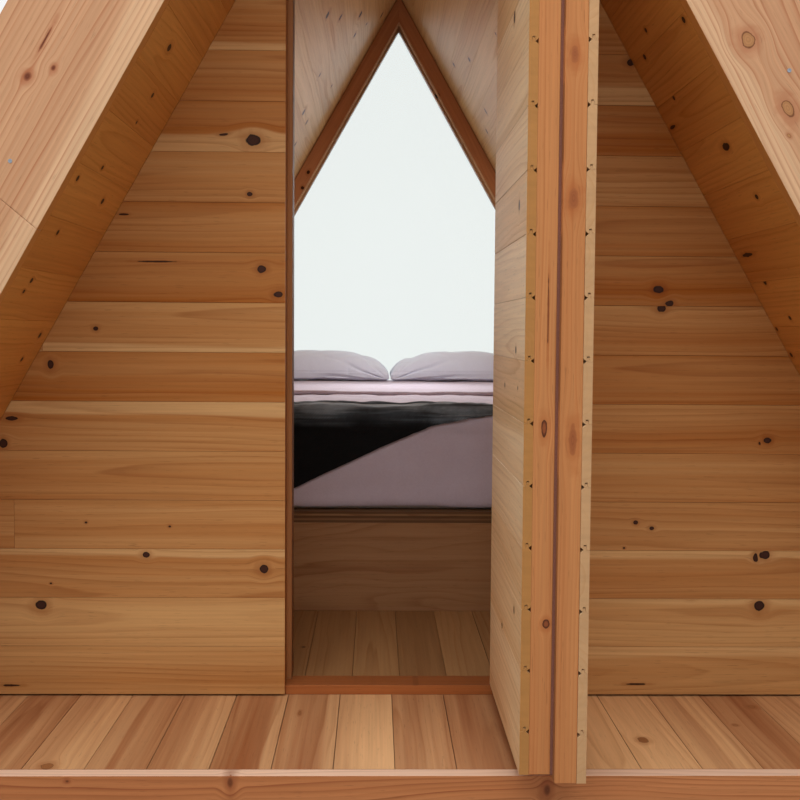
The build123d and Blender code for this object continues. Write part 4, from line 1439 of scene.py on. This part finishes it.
class CABIN_OT_bed_cover(bpy.types.Operator):
    """Adds the bed cover, with its soft shoulders and its turned-down end"""

    bl_idname = "cabin.bed_cover"
    bl_label = "Bed cover"

    def execute(self, context):
        cloth = bedding()
        drape = 0.0065
        low = COVER_LOW - Vector((0, 0, drape))
        high = COVER_HIGH - Vector((0, 0, cloth.turn_down))
        piece = block("bed_cover_body", low, high)
        self.round_shoulders(piece, high, cloth.shoulder)
        modify(piece, "REMESH", mode="VOXEL", voxel_size=0.015)
        modify(piece, "SMOOTH", factor=0.5, iterations=6)
        fit_box(piece, low, high)
        self.rumple(piece, low, high)
        seat, beyond = 0.0005, 0.05
        hollow_low = Vector((MATTRESS_LOW.x - seat, MATTRESS_LOW.y - seat, low.z - beyond))
        hollow_high = Vector((MATTRESS_HIGH.x + seat, MATTRESS_HIGH.y + beyond, MATTRESS_HIGH.z + seat))
        carve(piece, block("cover_hollow", hollow_low, hollow_high))
        smooth_by_angle(piece)
        turned = self.turn_down(low, high)
        piece = join("bed_cover_linen", [piece, turned])
        material = woven("Cover linen", cloth.cover_colour, shade(186, 168, 182), 1300.0)
        finish_piece(piece, material, "cabin", "cover_cloth", "bed_cover")
        return {"FINISHED"}

    def round_shoulders(self, piece, high, radius):
        """Bevels the top edges over the front and sides, and the two upright front corners."""
        def turning(edge):
            start, end = ends_of(piece, edge)
            middle = (start + end) / 2
            over = abs(middle.z - high.z) < 0.001 and middle.y < high.y - 0.01
            return over or (abs(start.z - end.z) > 0.1 and middle.y < 1.5)

        with picking(piece, "EDGE", turning):
            bpy.ops.mesh.bevel(offset=radius, segments=8)

    def rumple(self, piece, low, high):
        """Presses slow hollows and slanting creases into the cover."""
        for vertex in piece.data.vertices:
            at = vertex.co
            slow = 0.5 + 0.5 * noise.noise(Vector((at.x * 2.6, at.y * 2.6, at.z * 2.0)))
            fold = creases(at, 4.5, 0.6)
            hem = 1 - smooth_step(at.z, low.z + 0.02, low.z + 0.28)
            swoop = math.sin(at.z * 46 - at.x * 7 + 2.4 * noise.noise(at * 2.4))
            wave = max(0.0, swoop) ** 2 * (0.5 + 0.5 * noise.noise(at * 3.5))
            tucked = 1 - smooth_step(at.z, low.z, low.z + 0.022)
            depth = 0.0035 * slow + 0.0045 * fold + 0.0022 * creases(at, 12.0, -0.5)
            if at.y < MATTRESS_LOW.y and at.z < high.z - 0.08:
                at.y += min(0.0095, depth + 0.006 * wave * hem + 0.004 * tucked)
                at.z += 0.004 * tucked * (0.5 + 0.5 * math.sin(at.x * 13 + 1.3))
            elif at.z > MATTRESS_HIGH.z + 0.02 and at.y < high.y - 0.005:
                at.z -= depth * 1.3 * smooth_step(high.y - at.y, 0.0, 0.1)

    def turn_down(self, low, high):
        """The cover's end folded back towards the pillows, with a round, slightly wavy fold."""
        cloth = bedding()
        under_pillows = 0.15
        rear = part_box("pillows")[0].y + under_pillows
        start = Vector((low.x + cloth.shoulder, cloth.fold_line, high.z - 0.004))
        end = Vector((high.x - cloth.shoulder, rear, high.z + cloth.turn_down))
        layer = block("cover_turned_down", start, end)
        modify(layer, "BEVEL", width=0.009, segments=4, limit_method="ANGLE")

        def lengthwise(edge):
            return runs_along(layer, edge, 0, 0.5) or runs_along(layer, edge, 1, 0.3)

        with picking(layer, "EDGE", lengthwise):
            bpy.ops.mesh.subdivide(number_cuts=40)
        for vertex in layer.data.vertices:
            at = vertex.co
            front = 1 - smooth_step(at.y, start.y, start.y + 0.15)
            at.y += front * (0.010 + 0.014 * noise.noise(Vector((at.x * 4.3, 0.4, 0))))
            at.z -= front * 0.004 * (1 + noise.noise(Vector((at.x * 7.0, 5.2, 0))))
            if at.z > high.z + 0.004:
                at.z -= 0.004 * (0.5 + 0.5 * noise.noise(Vector((at.x * 4.0, at.y * 4.0, 2.0))))
                at.z -= 0.0025 * creases(Vector((at.x * 0.5, at.y * 2.0, 0.7)), 8.0, 0.3)
        smooth_by_angle(layer)
        return layer


def smooth_by_angle(piece):
    activate(piece)
    bpy.ops.object.shade_smooth_by_angle(angle=math.radians(40))


# The throw's lower edge on the front of the bed: place from left to right, and drop below the cover's top
THROW_EDGE = ((-0.774, 0.330), (-0.46, 0.322), (-0.38, 0.298), (-0.20, 0.216), (-0.09, 0.160), (0.0, 0.120),
              (0.08, 0.088), (0.187, 0.066), (0.303, 0.049), (0.774, 0.040))


def along_edge(x, edge=THROW_EDGE):
    """Drop of the throw's lower edge at a place across the bed."""
    for (x0, drop0), (x1, drop1) in zip(edge, edge[1:]):
        if x <= x1:
            return drop0 + (drop1 - drop0) * max(0.0, (x - x0) / (x1 - x0))
    return edge[-1][1]


class CABIN_OT_throw(bpy.types.Operator):
    """Adds the wool throw, draped askew over the foot of the bed"""

    bl_idname = "cabin.throw"
    bl_label = "Throw"

    def execute(self, context):
        cloth = bedding()
        columns, rows = 240, 84
        deselect()
        bpy.ops.mesh.primitive_grid_add(x_subdivisions=columns, y_subdivisions=rows, size=2)
        piece = bpy.context.object
        piece.name = "wool_throw"
        cover = bpy.data.objects["bed_cover_linen"]
        low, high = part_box("throw")
        side_gap = 0.004
        across_low, across_high = low.x + side_gap, high.x - side_gap
        margins = []
        for vertex in piece.data.vertices:
            x = across_low + (vertex.co.x + 1) / 2 * (across_high - across_low)
            path = self.path(x)
            length = path[-1][0]
            share = (1 - vertex.co.y) / 2
            margins.append(min(share, 1 - share) * length)
            vertex.co = self.at(path, x, share * length)
        self.seat(piece, cover, margins)
        with editing(piece):
            bpy.ops.mesh.normals_make_consistent(inside=False)
        up = sum(face.normal.z - face.normal.y for face in piece.data.polygons)
        modify(piece, "SOLIDIFY", thickness=cloth.throw_thickness, offset=1.0 if up > 0 else -1.0)
        smooth_by_angle(piece)
        # The paler blue-grey above the shoulder is painted light of the window grazing the wool
        material = woven("Throw wool", cloth.throw_colour, shade(9, 9, 9), 640.0, sheen=1.0, relief=0.0018,
                         mottle=1.1, nap=0.26, painted_shoulder_light=(COVER_HIGH.z - cloth.turn_down, shade(150, 164, 176)))
        finish_piece(piece, material, "cabin", "throw_wool", "throw")
        return {"FINISHED"}

    def path(self, x):
        """Way of the throw at one place across the bed, from its back edge over the shoulder to its lower
        edge, as points of length so far, Y and Z."""
        cloth = bedding()
        top = COVER_HIGH.z - cloth.turn_down
        radius = cloth.shoulder
        front = COVER_LOW.y
        back = front + 0.100 + 0.016 * math.sin(x * 9.0 + 0.6) - 0.012 * x
        low = COVER_HIGH.z - along_edge(x) + 0.006 * noise.noise(Vector((x * 6, 3.3, 0)))
        points = [(back, top), (front + radius, top)]
        turns = 8
        for index in range(1, turns + 1):
            angle = math.pi / 2 * index / turns
            points.append((front + radius - radius * math.sin(angle),
                           top - radius + radius * math.cos(angle)))
        points = [point for point in points if point[1] > low + 0.004]
        points.append((points[-1][0], low))
        path = [(0.0, *points[0])]
        for y, z in points[1:]:
            length = path[-1][0] + math.hypot(y - path[-1][1], z - path[-1][2])
            path.append((length, y, z))
        return path

    def at(self, path, x, length):
        """Point on the way at a length from the back edge."""
        for (start, y0, z0), (end, y1, z1) in zip(path, path[1:]):
            if length <= end or end == path[-1][0]:
                share = (length - start) / max(end - start, 0.00001)
                return Vector((x, y0 + (y1 - y0) * share, z0 + (z1 - z0) * share))
        return Vector((x, *path[-1][1:]))

    def seat(self, piece, cover, margins):
        """Lays the sheet on the cover, with long folds over the shoulder and thicker hems."""
        cloth = bedding()
        shoulder_height = COVER_HIGH.z - cloth.turn_down
        for vertex, margin in zip(piece.data.vertices, margins):
            _, at, normal, _ = cover.closest_point_on_mesh(vertex.co)
            outward = Vector((0, normal.y, normal.z)).normalized()
            lie = vertex.co.copy()
            slant = math.sin((lie.z - lie.y) * 95 + lie.x * 8 + 3.0 * noise.noise(lie * 3.5))
            fold = max(0.0, slant) ** 2 * (0.6 + 0.4 * noise.noise(lie * 5))
            near_top = 0.25 + 0.75 * smooth_step(lie.z, shoulder_height - 0.16, shoulder_height - 0.02)
            hem = 1 - smooth_step(margin, 0.006, 0.014)
            rise = (cloth.throw_gap + 0.010 * fold * near_top + 0.0012 * (1 + noise.noise(lie * 14))
                    + 0.002 * hem)
            vertex.co = Vector((lie.x, at.y, at.z)) + outward * rise


def area_lamp(name, location, target, size, power, colour=(1, 1, 1), mirrored=True, spread=180):
    """Square lamp that the camera doesn't see, and glass shows only where it is mirrored. Its light
    spreads by an angle in degrees."""
    deselect()
    bpy.ops.object.light_add(type="AREA", location=location)
    lamp = bpy.context.object
    lamp.name = name
    lamp.data.shape = "SQUARE"
    lamp.data.size = size
    lamp.data.energy = power
    lamp.data.color = colour
    lamp.data.spread = math.radians(spread)
    lamp.visible_camera = False
    lamp.visible_glossy = mirrored
    lamp.rotation_euler = (Vector(target) - Vector(location)).to_track_quat("-Z", "Y").to_euler()
    return lamp


def seen_directly(tree):
    """One for rays from the camera, in mirrors and through glass, and nought for those that light things."""
    rays = tree.nodes.new("ShaderNodeLightPath").outputs
    return calc(tree, "MAXIMUM", rays["Is Camera Ray"],
                calc(tree, "MAXIMUM", rays["Is Glossy Ray"], rays["Is Transmission Ray"]))


class CABIN_OT_stage(bpy.types.Operator):
    """Adds the studio floor, the lamps, the world and the camera"""

    bl_idname = "cabin.stage"
    bl_label = "Stage"

    def execute(self, context):
        scene = context.scene
        stage = scene.cabin_stage
        deselect()
        bpy.ops.mesh.primitive_plane_add(size=60)
        floor = context.object
        floor.name = "studio_floor"
        material, tree, shader = new_material("Studio floor")
        paler = [value * 1.05 for value in stage.floor_colour]
        mottled = blend_colour(tree, cloud(tree, object_point(tree), 0.4), stage.floor_colour, paler)
        backdrop, floor_glow = 0.92, 0.30
        glow = calc(tree, "MULTIPLY", seen_directly(tree), floor_glow)
        wire(tree, shader, {"Base Color": mottled, "Roughness": 0.9, "Emission Color": (1, 1, 1),
                            "Emission Strength": glow})
        floor.data.materials.append(material)
        above_bed = (0, 1.5, COVER_HIGH.z + 0.35)
        daylight, cool, warm = (0.94, 0.97, 1.0), (0.92, 0.95, 0.97), (1.0, 0.97, 0.93)
        area_lamp("Overhead", (-0.6, -3.2, 5.4), (0, -0.1, 0.5), 5.0, stage.overhead)
        area_lamp("Front", (0.8, -8.0, 2.6), (0, 0, 1.4), 6.0, stage.front)
        area_lamp("Rear", (0, 8.5, 4.5), (0, 2.9, 1.4), 6.0, stage.rear, daylight)
        area_lamp("Window glow", (0, 2.5, 1.95), (0, 0.9, 1.1), 0.4, stage.window, cool, False, 105)
        area_lamp("Bed glow", (0, 1.7, 2.2), (0, 2.75, 1.2), 0.4, stage.bed, cool, False, 105)
        area_lamp("Room glow", above_bed, (0, 1.6, APEX), 0.9, stage.room, warm, False)
        world = bpy.data.worlds.new("Studio")
        scene.world = world
        world.use_nodes = True
        tree = world.node_tree
        strength = calc(tree, "MULTIPLY_ADD", seen_directly(tree), backdrop - stage.sky, stage.sky)
        wire(tree, tree.nodes["Background"], {"Color": (1, 1, 1), "Strength": strength})
        bpy.ops.object.camera_add()
        camera = context.object
        camera.data.lens = stage.lens
        camera.data.sensor_width = 36
        camera.matrix_world = (Matrix.Translation(stage.place) @ Matrix.Rotation(-stage.yaw, 4, "Z")
                               @ Matrix.Rotation(math.pi / 2 - stage.pitch, 4, "X")
                               @ Matrix.Rotation(stage.roll, 4, "Z"))
        scene.camera = camera
        scene.view_settings.view_transform = "Standard"
        return {"FINISHED"}


class CABIN_PT_panel(bpy.types.Panel):
    """Lists the steps that build the cabin's looks"""

    bl_label = "Cabin"
    bl_idname = "CABIN_PT_panel"
    bl_space_type = "VIEW_3D"
    bl_region_type = "UI"
    bl_category = "Cabin"

    def draw(self, context):
        for operator in OPERATORS:
            self.layout.operator(operator.bl_idname)


GROUPS = (BoardSizes, TimberColours, BeddingSizes, StageSettings)
OPERATORS = (CABIN_OT_wall_boards, CABIN_OT_lining_boards, CABIN_OT_deck_and_floor, CABIN_OT_roof_boards,
             CABIN_OT_timbers, CABIN_OT_door_leaf, CABIN_OT_glazing, CABIN_OT_mattress, CABIN_OT_bed_cover,
             CABIN_OT_pillows, CABIN_OT_throw, CABIN_OT_stage)


def register():
    for item in (*GROUPS, *OPERATORS, CABIN_PT_panel):
        bpy.utils.register_class(item)
    bpy.types.Scene.cabin_boards = PointerProperty(type=BoardSizes)
    bpy.types.Scene.cabin_timber = PointerProperty(type=TimberColours)
    bpy.types.Scene.cabin_bedding = PointerProperty(type=BeddingSizes)
    bpy.types.Scene.cabin_stage = PointerProperty(type=StageSettings)


def unregister():
    for name in ("cabin_boards", "cabin_timber", "cabin_bedding", "cabin_stage"):
        delattr(bpy.types.Scene, name)
    for item in reversed((*GROUPS, *OPERATORS, CABIN_PT_panel)):
        bpy.utils.unregister_class(item)


def main():
    register()
    bpy.ops.cabin.stage()
    bpy.ops.cabin.wall_boards()
    bpy.ops.cabin.lining_boards()
    bpy.ops.cabin.deck_and_floor()
    bpy.ops.cabin.roof_boards()
    bpy.ops.cabin.timbers()
    bpy.ops.cabin.door_leaf()
    bpy.ops.cabin.glazing()
    bpy.ops.cabin.mattress()
    bpy.ops.cabin.bed_cover()
    bpy.ops.cabin.pillows()
    bpy.ops.cabin.throw()


if __name__ == "__main__":
    main()
